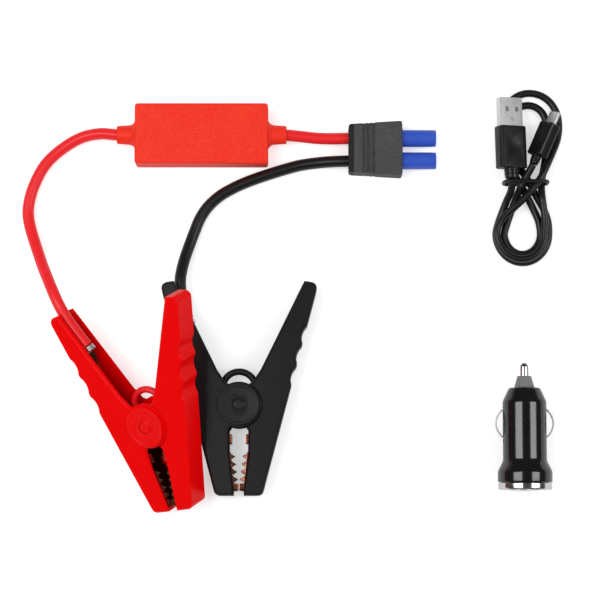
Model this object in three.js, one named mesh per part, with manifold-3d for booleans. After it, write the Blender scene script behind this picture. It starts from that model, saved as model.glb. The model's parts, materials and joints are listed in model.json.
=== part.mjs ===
// Accessories of a jump starter, as they lie on a table: a jump lead set (two clamps, a relay module
// and a two-pole plug), a charging cable folded in a figure of eight, and a plug for a 12 V socket.
// Millimetres, +Z up. Routes and places are in layout millimetres, whose zero is a point on the table.
import * as THREE from "three";
import { mergeVertices } from "three/addons/utils/BufferGeometryUtils.js";
import Module from "manifold-3d";

const wasm = await Module();
wasm.setup();

// ---- Driving dimensions ----
const seatGap = 0.3; // between pieces that sit on or in each other
const runGap = 0.4; // between pieces that move past each other

// Leads, charging cable and the cable's tie
const leadDiameter = 5.5;
const cableDiameter = 3.5;
const tieDiameter = 1.3;

// Clamp grips: a right half is drawn, the left half is its mirror image
const clampThickness = 14;
const sideWall = 1.6;
const spineWall = 2.6;
const gripRound = 1.1;
const noseReach = 42.4; // pivot axis to the nose
const noseHalfWidth = 11;
const handleReach = 58.3; // pivot axis to the handles' ends
const handleHalfSpread = 37.6;
const noseGap = 2.4; // middle plane to the grip's edge at the nose
const noseFlat = 2.9; // the nose's straight inner edge
const handleEndX = 30.7; // middle plane to a handle's inner edge at its end
const handleKnee = [10.2, 16.4];
const handleRoot = [6.4, 10.7];
const hubEdge = 2.6;
const hubFoot = -9.3;
const jawHeel = [4.5, -12.1];
const jawWaist = [4.4, -22];
const noseLip = [0.5, 0.9]; // from the nose's straight edge up to the jaw's side
const leadRoom = 1.3; // round a lead where it enters its handle
const leadWayDepth = 6;
const grooveRadius = 7.4;
const grooveDepth = 1.25;
const groovePlaces = [13.4, 23.4, 33];
const outerEarRadius = 10.8;
const innerEarRadius = 10;
const innerEarWall = 1.4;
const joggleWidth = 2;
const clampSpinRed = 11.55; // degrees, in its own plane
const clampTiltRed = 37.5; // degrees, leaning on the black clamp
const clampLeanRed = 38; // degrees, the side that is raised
const redPivot = [-67.8, -58.95];
const blackPivot = [-28.65, -50.7];

// Pivot
const pinDiameter = 4.4;
const pinHeadDiameter = 5.8;
const capDiameter = 19.5;
const capThickness = 1.2;

// Copper jaws
const jawSheet = 0.8;
const toothCount = 4;
const toothDepth = 2;
const firstToothY = -24;
const tipBarRise = 0.5; // from the jaw's foot to the bar across its tip
const lastToothRise = 5.2; // from that bar to the last tooth
const tipCloseRise = 3.2; // from that bar up to where both jaws nearly meet
const firstToothGap = 1.9; // middle plane to the uppermost tooth's tip
const lastToothGap = 0.5;
const tipGap = 0.25;
const jawTop = -13.7;
const tabFoot = -18.2; // the tab above the teeth ends here
const notchX = 5.4; // how far the jaw's edge steps back between tab and teeth
const tailLow = -1.3;
const tailHigh = 3.3;
const throatHalfWidth = 3.2;
const jawFootX = 3;
const rightTailLow = -4; // where the right jaw's tail ends
const rightTailHalfWidth = 2.3;
const crimpAt = [23.6, 39.1];
const crimpDiameter = 5.6;
const crimpLength = 2.4;

// Torsion spring and bridge wire
const springWire = 1.5;
const springRadius = 5.2;
const springTurns = 2.5;
const springHeight = 5.2; // between the wire's first and last turn
const springLeg = 27;
const springLegAngle = 41; // degrees from the clamp's long axis
const bridgeDiameter = 3.2;
const bridgeRadius = 7.8;
const bridgeCentreY = 8.1;
const bridgeFoot = [
  [13.2, -10.5],
  [12.6, -6.5],
  [10.7, -1.5],
  [9.1, 3.4],
]; // from the jaw up to the arch

// Module
const moduleLeft = -78.4;
const moduleLength = 63.2;
const moduleCentreY = 78.1;
const moduleWidth = 28.9;
const moduleHeight = 14;
const moduleCorner = 1.6;
const moduleEdge = 0.7;
const moduleWall = 1.8;
const seamHeight = 4.7;
const moduleLeadY = 78.3;
const moduleLeadZ = 7;
const glandLength = 8.8;
const glandDiameter = 9.8;
const glandTip = 8.4;
const glandNeck = 7.8;
const boardUnderside = 2.2;
const boardThickness = 1.6;
const glandFlange = 1.4;
const boardEndGap = 0.1; // between the board and each gland's flange
const boardSideGap = 1.15; // between the board and each side wall
const relayOffset = [-8, 3.5];
const diodeOffset = [12, -2];
const terminalInset = 1.1;
const relaySize = [17, 13, 7.6];
const diodeSize = [10.2, 15, 4.5];
const terminalSize = [4.5, 6, 5.6];

// Two-pole plug
const plugLeft = 23.1;
const plugCentre = [71.4, 6]; // y and z of its axis
const gripLength = 25.5;
const gripWidthLead = 23;
const gripWidthPole = 26.2;
const gripThickness = 12;
const gripCorner = 2;
const gripEdge = 1.1;
const leadSlope = 2.6;
const gripGrooves = [7.7, 9.9, 12.1]; // from the lead side
const gripGrooveWidth = 1.1;
const gripGrooveDepth = 0.8;
const poleHalfPitch = 5.4;
const poleDiameter = 8.1;
const poleLength = 16.2;
const poleBore = 6;
const poleRim = 0.5;
const housingBlock = [9.5, 20, 9.2];
const leadSocketDepth = 13.2;
const contactDiameter = 5;
const contactBore = 3.4;
const contactShank = 4;
const contactBoreDepth = 10;

// Socket adapter: stations along its axis, counted from the end ring's face
const adapterPlace = [105.2, -90.4];
const ringDiameter = 25;
const ringWidth = 3.2;
const headDiameter = 25.5;
const headEnd = 8.8;
const flareEnd = 13.5;
const bodyDiameter = 20.5;
const bodyEnd = 41.3;
const shoulderEnd = 47.7;
const shoulderDiameter = 14.6;
const noseBaseDiameter = 9.5;
const noseTipDiameter = 6.6;
const noseEnd = 53.3;
const tipDiameter = 4.2;
const tipEnd = 59.4;
const tipCollar = 6.2;
const tipChamber = 7;
const bodyWall = 1.6;
const tipSpringWire = 0.7;
const tipSpringTurns = 5;
const contactBulge = 3.2; // how far a side contact stands out of the body
const contactWidth = 3;
const contactSheet = 0.6;
const contactFrom = 23.4;
const contactTo = 38.6;
const contactRun = 1.4; // room in the slot for the contact's lower end
const insertDiameter = 18;
const portOpening = [12.8, 5.2];
const portDepth = 15;
const portWall = 1.2;
const portTongue = [10.8, 1.9, 9];
const adapterBoard = [10, 1.6]; // width and thickness

// Charging cable's plugs
const widePlugPlace = [100.45, 61.65, 10.1]; // middle of the grip's cable side
const widePlugRoll = 26; // degrees about its own axis
const widePlugTurn = 1.7; // degrees on the table
const wideGrip = [14.2, 20.3, 7.4];
const wideShell = [12, 13.6, 4.5];
const wideShellSheet = 0.4;
const wideTongue = [11, 1.8];
const wideRelief = [7.2, 4.8];
const wideWindow = 1.8;
const smallPlugPlace = [112.53, 67.91, 9.4];
const smallPlugRoll = -56;
const smallPlugTurn = -23.5;
const smallGrip = [10, 16.7, 6.6];
const smallShell = [6.85, 6.1, 1.9];
const smallShellSheet = 0.3;
const smallTongue = [4.4, 0.6];
const smallRelief = [4.7, 4.4];

// ---- Finishes ----
function finish(color, roughness, metalness = 0) {
  return new THREE.MeshStandardMaterial({ color, roughness, metalness });
}
const redPlastic = finish(0xd80a08, 0.42);
const blackPlastic = finish(0x232324, 0.42);
const moduleOrange = finish(0xf0421c, 0.6);
const redSilicone = finish(0xdc1a14, 0.5);
const blackSilicone = finish(0x1c1c1d, 0.5);
const greyRubber = finish(0x3c3c3d, 0.6);
const bluePlastic = finish(0x3b5cc0, 0.35);
const copper = finish(0xb8663a, 0.35, 1);
const springSteel = finish(0x9a9a98, 0.4, 1);
const brightSteel = finish(0xc8c8c8, 0.2, 1);
const brushedSteel = finish(0xa2a2a2, 0.35, 1);
const gold = finish(0xd2a53c, 0.3, 1);
const glossBlack = finish(0x141414, 0.15);
const nosePlastic = finish(0x828282, 0.5);
const boardGreen = finish(0x1f5a36, 0.5);
const whitePlastic = finish(0xe4e4e0, 0.5);

// ---- Solids ----
const degrees = THREE.MathUtils.degToRad;

function toSolid(geometry) {
  const bare = geometry.index ? geometry.toNonIndexed() : geometry.clone();
  for (const name of Object.keys(bare.attributes))
    if (name !== "position") bare.deleteAttribute(name);
  const merged = mergeVertices(bare, 1e-4);
  const triVerts = new Uint32Array(merged.index.array);
  const vertProperties = new Float32Array(merged.attributes.position.array);
  return new wasm.Manifold(
    new wasm.Mesh({ numProp: 3, vertProperties, triVerts }),
  );
}

function toGeometry(solid) {
  const mesh = solid.getMesh();
  const geometry = new THREE.BufferGeometry();
  geometry.setAttribute(
    "position",
    new THREE.BufferAttribute(new Float32Array(mesh.vertProperties), 3),
  );
  geometry.setIndex(new THREE.BufferAttribute(new Uint32Array(mesh.triVerts), 1));
  return geometry;
}

function join(...pieces) {
  return toGeometry(pieces.map(toSolid).reduce((a, b) => a.add(b)));
}

function cut(piece, ...tools) {
  return toGeometry(tools.map(toSolid).reduce((a, b) => a.subtract(b), toSolid(piece)));
}

function common(a, b) {
  return toGeometry(toSolid(a).intersect(toSolid(b)));
}

function box(x0, x1, y0, y1, z0, z1) {
  return new THREE.BoxGeometry(x1 - x0, y1 - y0, z1 - z0).translate(
    (x0 + x1) / 2,
    (y0 + y1) / 2,
    (z0 + z1) / 2,
  );
}

// A solid between two heights, its rim rounded by bevel.
function plate(points, z0, z1, bevel = 0, steps = 1) {
  const shape = new THREE.Shape(points.map(([x, y]) => new THREE.Vector2(x, y)));
  return new THREE.ExtrudeGeometry(shape, {
    depth: z1 - z0 - 2 * bevel,
    steps: 1,
    bevelEnabled: bevel > 0,
    bevelThickness: bevel,
    bevelSize: bevel,
    bevelOffset: -bevel,
    bevelSegments: steps,
  }).translate(0, 0, z0 + bevel);
}

// Outline points with each corner [x, y, radius] rounded.
function rounded(corners, steps = 3) {
  return corners.flatMap(([x, y, radius = 0], i) => {
    if (!radius) return [[x, y]];
    const at = new THREE.Vector2(x, y);
    const before = new THREE.Vector2(...corners.at(i - 1).slice(0, 2));
    const after = new THREE.Vector2(...corners[(i + 1) % corners.length].slice(0, 2));
    const from = before.sub(at).setLength(radius).add(at);
    const to = after.sub(at).setLength(radius).add(at);
    const curve = new THREE.QuadraticBezierCurve(from, at, to);
    return curve.getPoints(steps).map((p) => [p.x, p.y]);
  });
}

function roundedRectangle(width, length, radius, steps = 3) {
  const w = width / 2;
  const l = length / 2;
  return rounded(
    [
      [-w, -l, radius],
      [w, -l, radius],
      [w, l, radius],
      [-w, l, radius],
    ],
    steps,
  );
}

// A solid of revolution about Y from a closed profile [radius, y], listed so that its faces point out.
function turned(profile, sides = 32) {
  const points = profile.map(([r, y]) => new THREE.Vector2(r, y));
  return new THREE.LatheGeometry(points, sides);
}

function rod(radius, y0, y1, sides = 20) {
  return turned(
    [
      [0, y0],
      [radius, y0],
      [radius, y1],
      [0, y1],
    ],
    sides,
  );
}

// The range from a to b, or its mirror image when side is negative.
function span(side, a, b) {
  return side > 0 ? [a, b] : [-b, -a];
}

// Turns a solid made along Y so that it stands along Z.
function upright(geometry) {
  return geometry.rotateX(Math.PI / 2);
}

// A round solid along Z.
function post(radius, z0, z1, sides = 24) {
  return upright(rod(radius, z0, z1, sides));
}

// Turns a solid made along Y so that it lies along X.
function alongX(geometry) {
  return geometry.rotateZ(-Math.PI / 2);
}

// A round tube on a smooth curve through the points.
function tube(points, diameter, sides, steps) {
  const curve = new THREE.CatmullRomCurve3(
    points.map((p) => new THREE.Vector3(...p)),
    false,
    "centripetal",
  );
  return tubeOn(curve, diameter, sides, steps);
}

function tubeOn(curve, diameter, sides, steps) {
  const section = new THREE.Shape(
    Array.from({ length: sides }, (_, i) => {
      const angle = (2 * Math.PI * i) / sides;
      return new THREE.Vector2(Math.cos(angle), Math.sin(angle)).multiplyScalar(diameter / 2);
    }),
  );
  return new THREE.ExtrudeGeometry(section, { steps, extrudePath: curve, bevelEnabled: false });
}

// A closed band of constant thickness along a flat line of points, standing from z0 to z1.
function strip(points, thickness, z0, z1) {
  const line = points.map(([x, y]) => new THREE.Vector2(x, y));
  const side = (sign) =>
    line.map((p, i) => {
      const a = line[Math.max(i - 1, 0)];
      const b = line[Math.min(i + 1, line.length - 1)];
      const along = b.clone().sub(a).normalize();
      return [p.x - (sign * along.y * thickness) / 2, p.y + (sign * along.x * thickness) / 2];
    });
  return plate([...side(-1), ...side(1).reverse()], z0, z1);
}

// ---- Assembly ----
const layout = new THREE.Group();

function add(name, geometry, material, parent = layout) {
  const mesh = new THREE.Mesh(geometry, material);
  mesh.name = name;
  parent.add(mesh);
  return mesh;
}

// ---- Clamps ----
const half = clampThickness / 2;
const wallInside = half - sideWall;
const edgeSlope = (handleHalfSpread - noseHalfWidth) / (handleReach + noseReach);
const edgeAngle = Math.atan(edgeSlope);

// The grip's straight outer edge, moved in by an inset.
function edgeX(y, inset = 0) {
  return noseHalfWidth + (y + noseReach) * edgeSlope - inset / Math.cos(edgeAngle);
}

// One finger groove: an arc sunk into the outer edge.
function groove(y) {
  const along = new THREE.Vector2(Math.sin(edgeAngle), Math.cos(edgeAngle));
  const out = new THREE.Vector2(Math.cos(edgeAngle), -Math.sin(edgeAngle));
  const reach = Math.acos((grooveRadius - grooveDepth) / grooveRadius);
  const centre = new THREE.Vector2(edgeX(y), y).addScaledVector(out, grooveRadius - grooveDepth);
  const steps = 4;
  return Array.from({ length: steps + 1 }, (_, i) => {
    const angle = reach * ((2 * i) / steps - 1);
    const p = centre
      .clone()
      .addScaledVector(along, grooveRadius * Math.sin(angle))
      .addScaledVector(out, -grooveRadius * Math.cos(angle));
    return [p.x, p.y];
  });
}

// The right grip's outline: nose, grooved back, handle, hub and jaw heel.
function gripOutline() {
  return rounded([
    [noseGap + 0.2, -noseReach, 1.8],
    [noseHalfWidth, -noseReach, 2.4],
    ...groovePlaces.flatMap(groove),
    [edgeX(handleReach - 0.9), handleReach - 0.9, 4],
    [handleEndX, handleReach],
    handleKnee,
    handleRoot,
    [hubEdge, handleRoot[1] - 2],
    [hubEdge, hubFoot],
    jawHeel,
    jawWaist,
    [noseGap + noseLip[0], noseFlat - noseReach + noseLip[1]],
    [noseGap, noseFlat - noseReach],
  ]);
}

// The hollow between the side walls, open towards the other grip.
function pocketOutline() {
  const top = handleReach - sideWall;
  return [
    [-3, sideWall - noseReach],
    [edgeX(sideWall - noseReach, spineWall), sideWall - noseReach],
    [edgeX(top - 4.4, spineWall), top - 4.4],
    [edgeX(top - 2, spineWall + 2), top - 2],
    [handleEndX + 1, top - 0.4],
    [handleEndX - 6, top],
    [-3, 12],
  ];
}

function mirrored(points, side) {
  return points.map(([x, y]) => [side * x, y]);
}

function gripShell(side) {
  const body = plate(mirrored(gripOutline(), side), -half, half, gripRound);
  const pocket = plate(mirrored(pocketOutline(), side), -wallInside, wallInside);
  return cut(body, pocket);
}

const pinHole = pinDiameter / 2 + seatGap;
const pinSides = 16;

// The left grip carries the outer ears and the lead's way in.
function leftGrip() {
  const ears = [
    post(outerEarRadius, wallInside, half),
    post(outerEarRadius, -half, -wallInside),
  ];
  const leadWay = leadDiameter / 2 + leadRoom;
  const wayIn = box(
    -edgeX(handleReach, spineWall * 0.3),
    -(handleEndX - sideWall - 5),
    handleReach - leadWayDepth,
    handleReach + 1,
    -leadWay,
    leadWay,
  );
  return cut(join(gripShell(-1), ...ears), post(pinHole, -half - 1, half + 1, pinSides), wayIn);
}

// The right grip's walls step in, so that its ears lie between the left grip's ears.
function rightGrip() {
  const clearRadius = outerEarRadius + runGap;
  const earTop = wallInside - runGap;
  const earFoot = earTop - innerEarWall;
  const beyond = half + 1;
  const steps = [-1, 1].map((side) => {
    const [low, high] = span(side, earFoot, half - gripRound);
    const rim = common(plate(gripOutline(), low, high), post(clearRadius + joggleWidth, low, high));
    const ear = post(innerEarRadius, ...span(side, earFoot, earTop));
    return cut(join(rim, ear), post(clearRadius, ...span(side, earTop, beyond)));
  });
  const shell = cut(gripShell(1), post(clearRadius, -beyond, beyond));
  return cut(join(shell, ...steps), post(pinHole, -beyond, beyond, pinSides));
}

const capSeat = half + seatGap;
const capTop = capSeat + capThickness;
const headSink = 0.5;

// A disc cap over each outer ear, with a sunk seat for the pin's head.
function pivotCap(sign) {
  const r = capDiameter / 2;
  const sink = capTop - headSink - seatGap;
  const profile = [
    [r, capSeat],
    [r, capTop - 0.5],
    [r - 0.5, capTop],
    [pinHeadDiameter / 2 + seatGap, capTop],
    [pinHeadDiameter / 2 + seatGap, sink],
    [pinHole, sink],
    [pinHole, capSeat],
    [r, capSeat],
  ];
  return upright(turned(profile, 20)).rotateX(sign > 0 ? 0 : Math.PI);
}

function pivotPin() {
  const shank = pinDiameter / 2;
  const head = pinHeadDiameter / 2;
  const foot = capTop - headSink;
  const profile = [
    [0, -capTop],
    [head, -capTop],
    [head, -foot],
    [shank, -foot],
    [shank, foot],
    [head, foot],
    [head, capTop],
    [0, capTop],
  ];
  return upright(turned(profile, pinSides));
}

const jawFoot = sideWall + seatGap - noseReach;
const tipBar = jawFoot + tipBarRise;
const toothPitch = (firstToothY - tipBar - lastToothRise) / (toothCount - 1);

// The toothed edge of a jaw's flange, from the heel down to the tip.
function toothLine() {
  const lean = (firstToothGap - lastToothGap) / (toothPitch * (toothCount - 1));
  return Array.from({ length: toothCount }, (_, i) => {
    const y = firstToothY - i * toothPitch;
    const x = firstToothGap - lean * i * toothPitch;
    return [
      [x + toothDepth + (lean * toothPitch) / 2, y + toothPitch / 2],
      [x, y],
    ];
  }).flat();
}

// A folded copper strip: two toothed flanges, a back along the spine, a bar across the tip and a tail.
function jaw(side) {
  const back = spineWall + seatGap;
  const width = wallInside - seatGap;
  const flange = [
    [edgeX(jawFoot, back), jawFoot],
    [edgeX(jawTop, back), jawTop],
    [throatHalfWidth, jawTop],
    [throatHalfWidth, tabFoot],
    [notchX, tabFoot],
    [notchX, firstToothY + toothPitch / 2 + 0.3],
    ...toothLine(),
    [lastToothGap + toothDepth / 2, tipBar + tipCloseRise + toothDepth / 2],
    [tipGap, tipBar + tipCloseRise],
    [tipGap, tipBar],
    [jawFootX, jawFoot],
  ];
  const spine = [
    [edgeX(jawFoot, back), jawFoot],
    [edgeX(jawTop, back), jawTop],
    [edgeX(jawTop, back + jawSheet), jawTop],
    [edgeX(jawFoot, back + jawSheet), jawFoot],
  ];
  const tailStart = [edgeX(jawTop - 2, back + jawSheet / 2), jawTop - 2];
  const leadEnd = [crimpAt[0] - 0.8, crimpAt[1] - 1.6];
  const tailEnd = [edgeX(rightTailLow, back + 2 * jawSheet), rightTailLow];
  const [tailFoot, tailTop] = side < 0 ? [tailLow, tailHigh] : [-rightTailHalfWidth, rightTailHalfWidth];
  const tail = [tailStart, side < 0 ? leadEnd : tailEnd];
  const bar = [
    [tipGap, tipBar],
    [throatHalfWidth + 0.2, tipBar],
    [throatHalfWidth + 0.2, tipBar + jawSheet],
    [tipGap, tipBar + jawSheet],
  ];
  return join(
    plate(mirrored(flange, side), width - jawSheet, width),
    plate(mirrored(flange, side), -width, jawSheet - width),
    plate(mirrored(spine, side), -width, width),
    plate(mirrored(bar, side), -width, width),
    strip(mirrored(tail, side), jawSheet, tailFoot, tailTop),
  );
}

// Torsion spring: a leg along each grip and the turns round the pin.
function torsionSpring() {
  const start = degrees(180 + springLegAngle);
  const sweep = 2 * Math.PI * springTurns + degrees(180 - 2 * springLegAngle) - Math.PI;
  const steps = Math.round(springTurns * 8);
  const points = [];
  const turn = (angle, z) => [springRadius * Math.cos(angle), springRadius * Math.sin(angle), z];
  const leg = (angle, sign, z) => {
    const [x, y] = turn(angle, z);
    return [x + sign * springLeg * Math.sin(angle), y - sign * springLeg * Math.cos(angle), z];
  };
  points.push(leg(start, 1, -springHeight / 2));
  for (let i = 0; i <= steps; i += 1) {
    const t = i / steps;
    points.push(turn(start + sweep * t, springHeight * (t - 0.5)));
  }
  points.push(leg(start + sweep, -1, springHeight / 2));
  return tube(points, springWire, 5, steps + 10);
}

// The wire that arches between the handles and joins both jaws.
function bridgeWire() {
  const arch = Array.from({ length: 7 }, (_, i) => {
    const angle = (Math.PI * i) / 6;
    return [bridgeRadius * Math.cos(angle), bridgeCentreY + bridgeRadius * Math.sin(angle), 0];
  });
  const right = bridgeFoot.map(([x, y]) => [x, y, 0]);
  const left = bridgeFoot.map(([x, y]) => [-x, y, 0]).reverse();
  const points = [...right, ...arch, ...left];
  return tube(points, bridgeDiameter, 6, 24);
}

function crimpSleeve() {
  const run = new THREE.Vector2(4.3, 8.5);
  return rod(crimpDiameter / 2, -crimpLength / 2, crimpLength / 2, 16)
    .rotateZ(Math.atan2(run.x, run.y))
    .translate(-crimpAt[0], crimpAt[1], 0);
}

function clamp(name, plastic) {
  const group = new THREE.Group();
  add(`${name}_grip_left`, leftGrip(), plastic, group);
  add(`${name}_grip_right`, rightGrip(), plastic, group);
  add(`${name}_jaw_left`, jaw(-1), copper, group);
  add(`${name}_jaw_right`, jaw(1), copper, group);
  add(`${name}_pivot_pin`, pivotPin(), plastic, group);
  add(`${name}_cap_front`, pivotCap(-1), plastic, group);
  add(`${name}_cap_back`, pivotCap(1), plastic, group);
  add(`${name}_spring`, torsionSpring(), springSteel, group);
  add(`${name}_bridge_wire`, bridgeWire(), name === "red" ? redSilicone : blackSilicone, group);
  add(`${name}_crimp_sleeve`, crimpSleeve(), brightSteel, group);
  return group;
}

const blackClamp = clamp("black", blackPlastic);
blackClamp.position.set(...blackPivot, capTop);
layout.add(blackClamp);

const redClamp = clamp("red", redPlastic);
const leanAxis = new THREE.Vector3(
  Math.sin(degrees(clampLeanRed)),
  -Math.cos(degrees(clampLeanRed)),
  0,
);
redClamp.quaternion
  .setFromAxisAngle(leanAxis, degrees(clampTiltRed))
  .multiply(new THREE.Quaternion().setFromAxisAngle(new THREE.Vector3(0, 0, 1), degrees(clampSpinRed)));
redClamp.updateMatrixWorld(true);
const redLowest = new THREE.Box3().setFromObject(redClamp, true).min.z;
redClamp.position.set(...redPivot, -redLowest);
layout.add(redClamp);

// ---- Leads: routes chosen by hand, in layout millimetres ----
const redClampLead = [
  [-74.3, 78.3, 7],
  [-81, 78.3, 7],
  [-87.2, 78.4, 6.95],
  [-95.4, 79.2, 5.5],
  [-104.4, 77.6, 3.7],
  [-114.2, 71.9, 2.8],
  [-121.7, 64.6, 2.8],
  [-126.3, 56.1, 2.8],
  [-128.8, 48.5, 2.8],
  [-129.6, 41.5, 2.95],
  [-128.6, 35.2, 3.7],
  [-126.6, 28.8, 5.4],
  [-124.2, 22.2, 8.2],
  [-121.6, 15.4, 12],
  [-118.6, 8.6, 16.4],
  [-115.8, 2.4, 20],
  [-113, -3.6, 21.5],
  [-109.8, -9.4, 21.2],
  [-107.1, -13.4, 20.9],
  [-104.1, -17.4, 20.8],
  [-101.1, -21.3, 20.75],
  [-99.25, -23.55, 20.72],
];
const redPlugLead = [
  [36, 76.8, 6],
  [29, 76.8, 6],
  [22, 76.8, 6],
  [15, 76.7, 5.9],
  [8, 76.9, 6],
  [0, 77.7, 6.5],
  [-6.5, 78.2, 6.9],
  [-13, 78.3, 7],
  [-19.3, 78.3, 7],
];
const blackPlugLead = [
  [36, 66, 6],
  [29, 66, 6],
  [22, 65.9, 5.8],
  [16, 65.8, 5.1],
  [9.5, 65.5, 4],
  [0, 64.3, 3],
  [-7.2, 62.4, 2.8],
  [-14.3, 60.2, 2.8],
  [-20.5, 58.1, 2.8],
  [-26.3, 55.9, 2.8],
  [-32.5, 53, 2.8],
  [-38.2, 49.6, 2.8],
  [-43.7, 44.6, 2.8],
  [-47.6, 38.8, 2.8],
  [-50.2, 32.4, 2.95],
  [-52.4, 26.3, 3.7],
  [-54.4, 20.2, 5.1],
  [-55.9, 14.1, 6.8],
  [-56.6, 9.2, 8],
  [-56.4, 3.8, 8.4],
  [-55.3, -2.2, 8.5],
  [-54, -6.6, 8.5],
  [-53, -9.6, 8.5],
];

const leadSteps = 30;
add("red_clamp_lead", tube(redClampLead, leadDiameter, 8, leadSteps), redSilicone);
add("red_plug_lead", tube(redPlugLead, leadDiameter, 8, 12), redSilicone);
add("black_clamp_lead", tube(blackPlugLead, leadDiameter, 8, leadSteps), blackSilicone);

// ---- Module ----
const moduleRight = moduleLeft + moduleLength;
const moduleMiddle = moduleLeft + moduleLength / 2;
const leadBore = leadDiameter / 2 + seatGap;

function moduleBlock(z0, z1, inset, edge) {
  const outline = roundedRectangle(
    moduleLength - 2 * inset,
    moduleWidth - 2 * inset,
    Math.max(moduleCorner - inset, 0.4),
  );
  return plate(outline, z0, z1, edge).translate(moduleMiddle, moduleCentreY, 0);
}

function glandHoles() {
  const hole = rod(glandNeck / 2 + seatGap, moduleLeft - 1, moduleRight + 1, 16);
  return alongX(hole).translate(0, moduleLeadY, moduleLeadZ);
}

function moduleTop() {
  const whole = moduleBlock(0, moduleHeight, 0, moduleEdge);
  const below = moduleBlock(-1, seamHeight + seatGap, -1, 0);
  const inside = moduleBlock(-1, moduleHeight - moduleWall, moduleWall, 0);
  return cut(whole, below, inside, glandHoles());
}

const boardTop = boardUnderside + boardThickness;
const boardLength = moduleLength - 2 * (moduleWall + seatGap + glandFlange + boardEndGap);
const boardWidth = moduleWidth - 2 * (moduleWall + boardSideGap);

function moduleBottom() {
  const whole = moduleBlock(0, moduleHeight, 0, moduleEdge);
  const above = moduleBlock(seamHeight, moduleHeight + 1, -1, 0);
  const inside = moduleBlock(moduleWall, moduleHeight + 1, moduleWall, 0);
  const shell = cut(whole, above, inside, glandHoles());
  const ribs = [-1, 1].map((side) =>
    box(
      moduleMiddle + side * (boardLength / 2 - 6) - 1,
      moduleMiddle + side * (boardLength / 2 - 6) + 1,
      moduleCentreY - boardWidth / 2,
      moduleCentreY + boardWidth / 2,
      moduleWall - 0.2,
      boardUnderside - 0.1,
    ),
  );
  return join(shell, ...ribs);
}

function onBoard([length, width, height], x, y) {
  const foot = boardTop + seatGap / 2;
  return box(
    moduleMiddle + x - length / 2,
    moduleMiddle + x + length / 2,
    moduleCentreY + y - width / 2,
    moduleCentreY + y + width / 2,
    foot,
    foot + height,
  );
}

// A cable gland through an end wall: flange inside, neck, tapered sleeve outside, all bored for the lead.
function gland() {
  const outer = glandDiameter / 2;
  return turned(
    [
      [leadBore, -moduleWall - seatGap - glandFlange],
      [outer, -moduleWall - seatGap - glandFlange],
      [outer, -moduleWall - seatGap],
      [glandNeck / 2, -moduleWall - seatGap],
      [glandNeck / 2, seatGap],
      [outer, seatGap],
      [outer, 2.2],
      [glandTip / 2, glandLength],
      [leadBore, glandLength],
      [leadBore, -moduleWall - seatGap - glandFlange],
    ],
    16,
  );
}

add("module_cover_top", moduleTop(), moduleOrange);
add("module_cover_bottom", moduleBottom(), moduleOrange);
add(
  "module_board",
  box(
    moduleMiddle - boardLength / 2,
    moduleMiddle + boardLength / 2,
    moduleCentreY - boardWidth / 2,
    moduleCentreY + boardWidth / 2,
    boardUnderside,
    boardTop,
  ),
  boardGreen,
);
add("module_relay", onBoard(relaySize, ...relayOffset), blackPlastic);
add("module_diode_pack", onBoard(diodeSize, ...diodeOffset), blackPlastic);
const terminalX = boardLength / 2 - terminalSize[0] / 2 - terminalInset;
const terminalY = moduleLeadY - moduleCentreY;
add("module_terminal_left", onBoard(terminalSize, -terminalX, terminalY), gold);
add("module_terminal_right", onBoard(terminalSize, terminalX, terminalY), gold);
add("module_gland_right", alongX(gland()).translate(moduleRight, moduleLeadY, moduleLeadZ), moduleOrange);
add(
  "module_gland_left",
  alongX(gland()).rotateZ(Math.PI).translate(moduleLeft, moduleLeadY, moduleLeadZ),
  moduleOrange,
);

// ---- Two-pole plug: drawn with its axis along X and its lead side at x = 0 ----
const [plugY, plugZ] = plugCentre;
const blockStart = gripLength - housingBlock[0];

function poles(radius, x0, x1) {
  return [-poleHalfPitch, poleHalfPitch].map((y) => alongX(rod(radius, x0, x1, 16)).translate(0, y, 0));
}

function plugGrip() {
  const outline = rounded([
    [0, -gripWidthLead / 2, gripCorner],
    [gripLength, -gripWidthPole / 2, gripCorner],
    [gripLength, gripWidthPole / 2, gripCorner],
    [0, gripWidthLead / 2, gripCorner],
  ]);
  const h = gripThickness / 2;
  const body = plate(outline, -h, h, gripEdge);
  const slope = plate(
    [
      [-1, h - leadSlope * 0.6],
      [leadSlope, h + 0.02],
      [leadSlope, h + 1],
      [-1, h + 1],
    ],
    -gripWidthPole,
    gripWidthPole,
  ).rotateX(Math.PI / 2);
  const core = plate(
    roundedRectangle(gripLength * 2, gripWidthLead, 1),
    gripGrooveDepth - h,
    h - gripGrooveDepth,
  );
  const waists = gripGrooves.map((x) => {
    const [x0, x1] = [x - gripGrooveWidth / 2, x + gripGrooveWidth / 2];
    return cut(box(x0, x1, -gripWidthPole, gripWidthPole, -h - 1, h + 1), core);
  });
  const pocket = housingBlock.map((size, i) => (i ? size / 2 + seatGap : 0));
  const cavity = box(blockStart, gripLength + 1, -pocket[1], pocket[1], -pocket[2], pocket[2]);
  return cut(
    body,
    slope,
    ...waists,
    cavity,
    ...poles(leadBore, -1, leadSocketDepth),
    ...poles(contactShank / 2 + seatGap, leadSocketDepth - 1, blockStart + 1),
  );
}

function blueHousing() {
  const end = gripLength + poleLength;
  const block = box(
    blockStart + seatGap,
    gripLength + 0.2,
    -housingBlock[1] / 2,
    housingBlock[1] / 2,
    -housingBlock[2] / 2,
    housingBlock[2] / 2,
  );
  const barrels = [-poleHalfPitch, poleHalfPitch].map((y) =>
    alongX(
      turned(
        [
          [0, gripLength - 1],
          [poleDiameter / 2, gripLength - 1],
          [poleDiameter / 2, end - poleRim],
          [poleDiameter / 2 - poleRim, end],
          [0, end],
        ],
        20,
      ),
    ).translate(0, y, 0),
  );
  return cut(
    join(block, ...barrels),
    ...poles(poleBore / 2, gripLength - 1.5, end + 1),
    ...poles(contactShank / 2 + seatGap, blockStart - 1, gripLength),
  );
}

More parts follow.
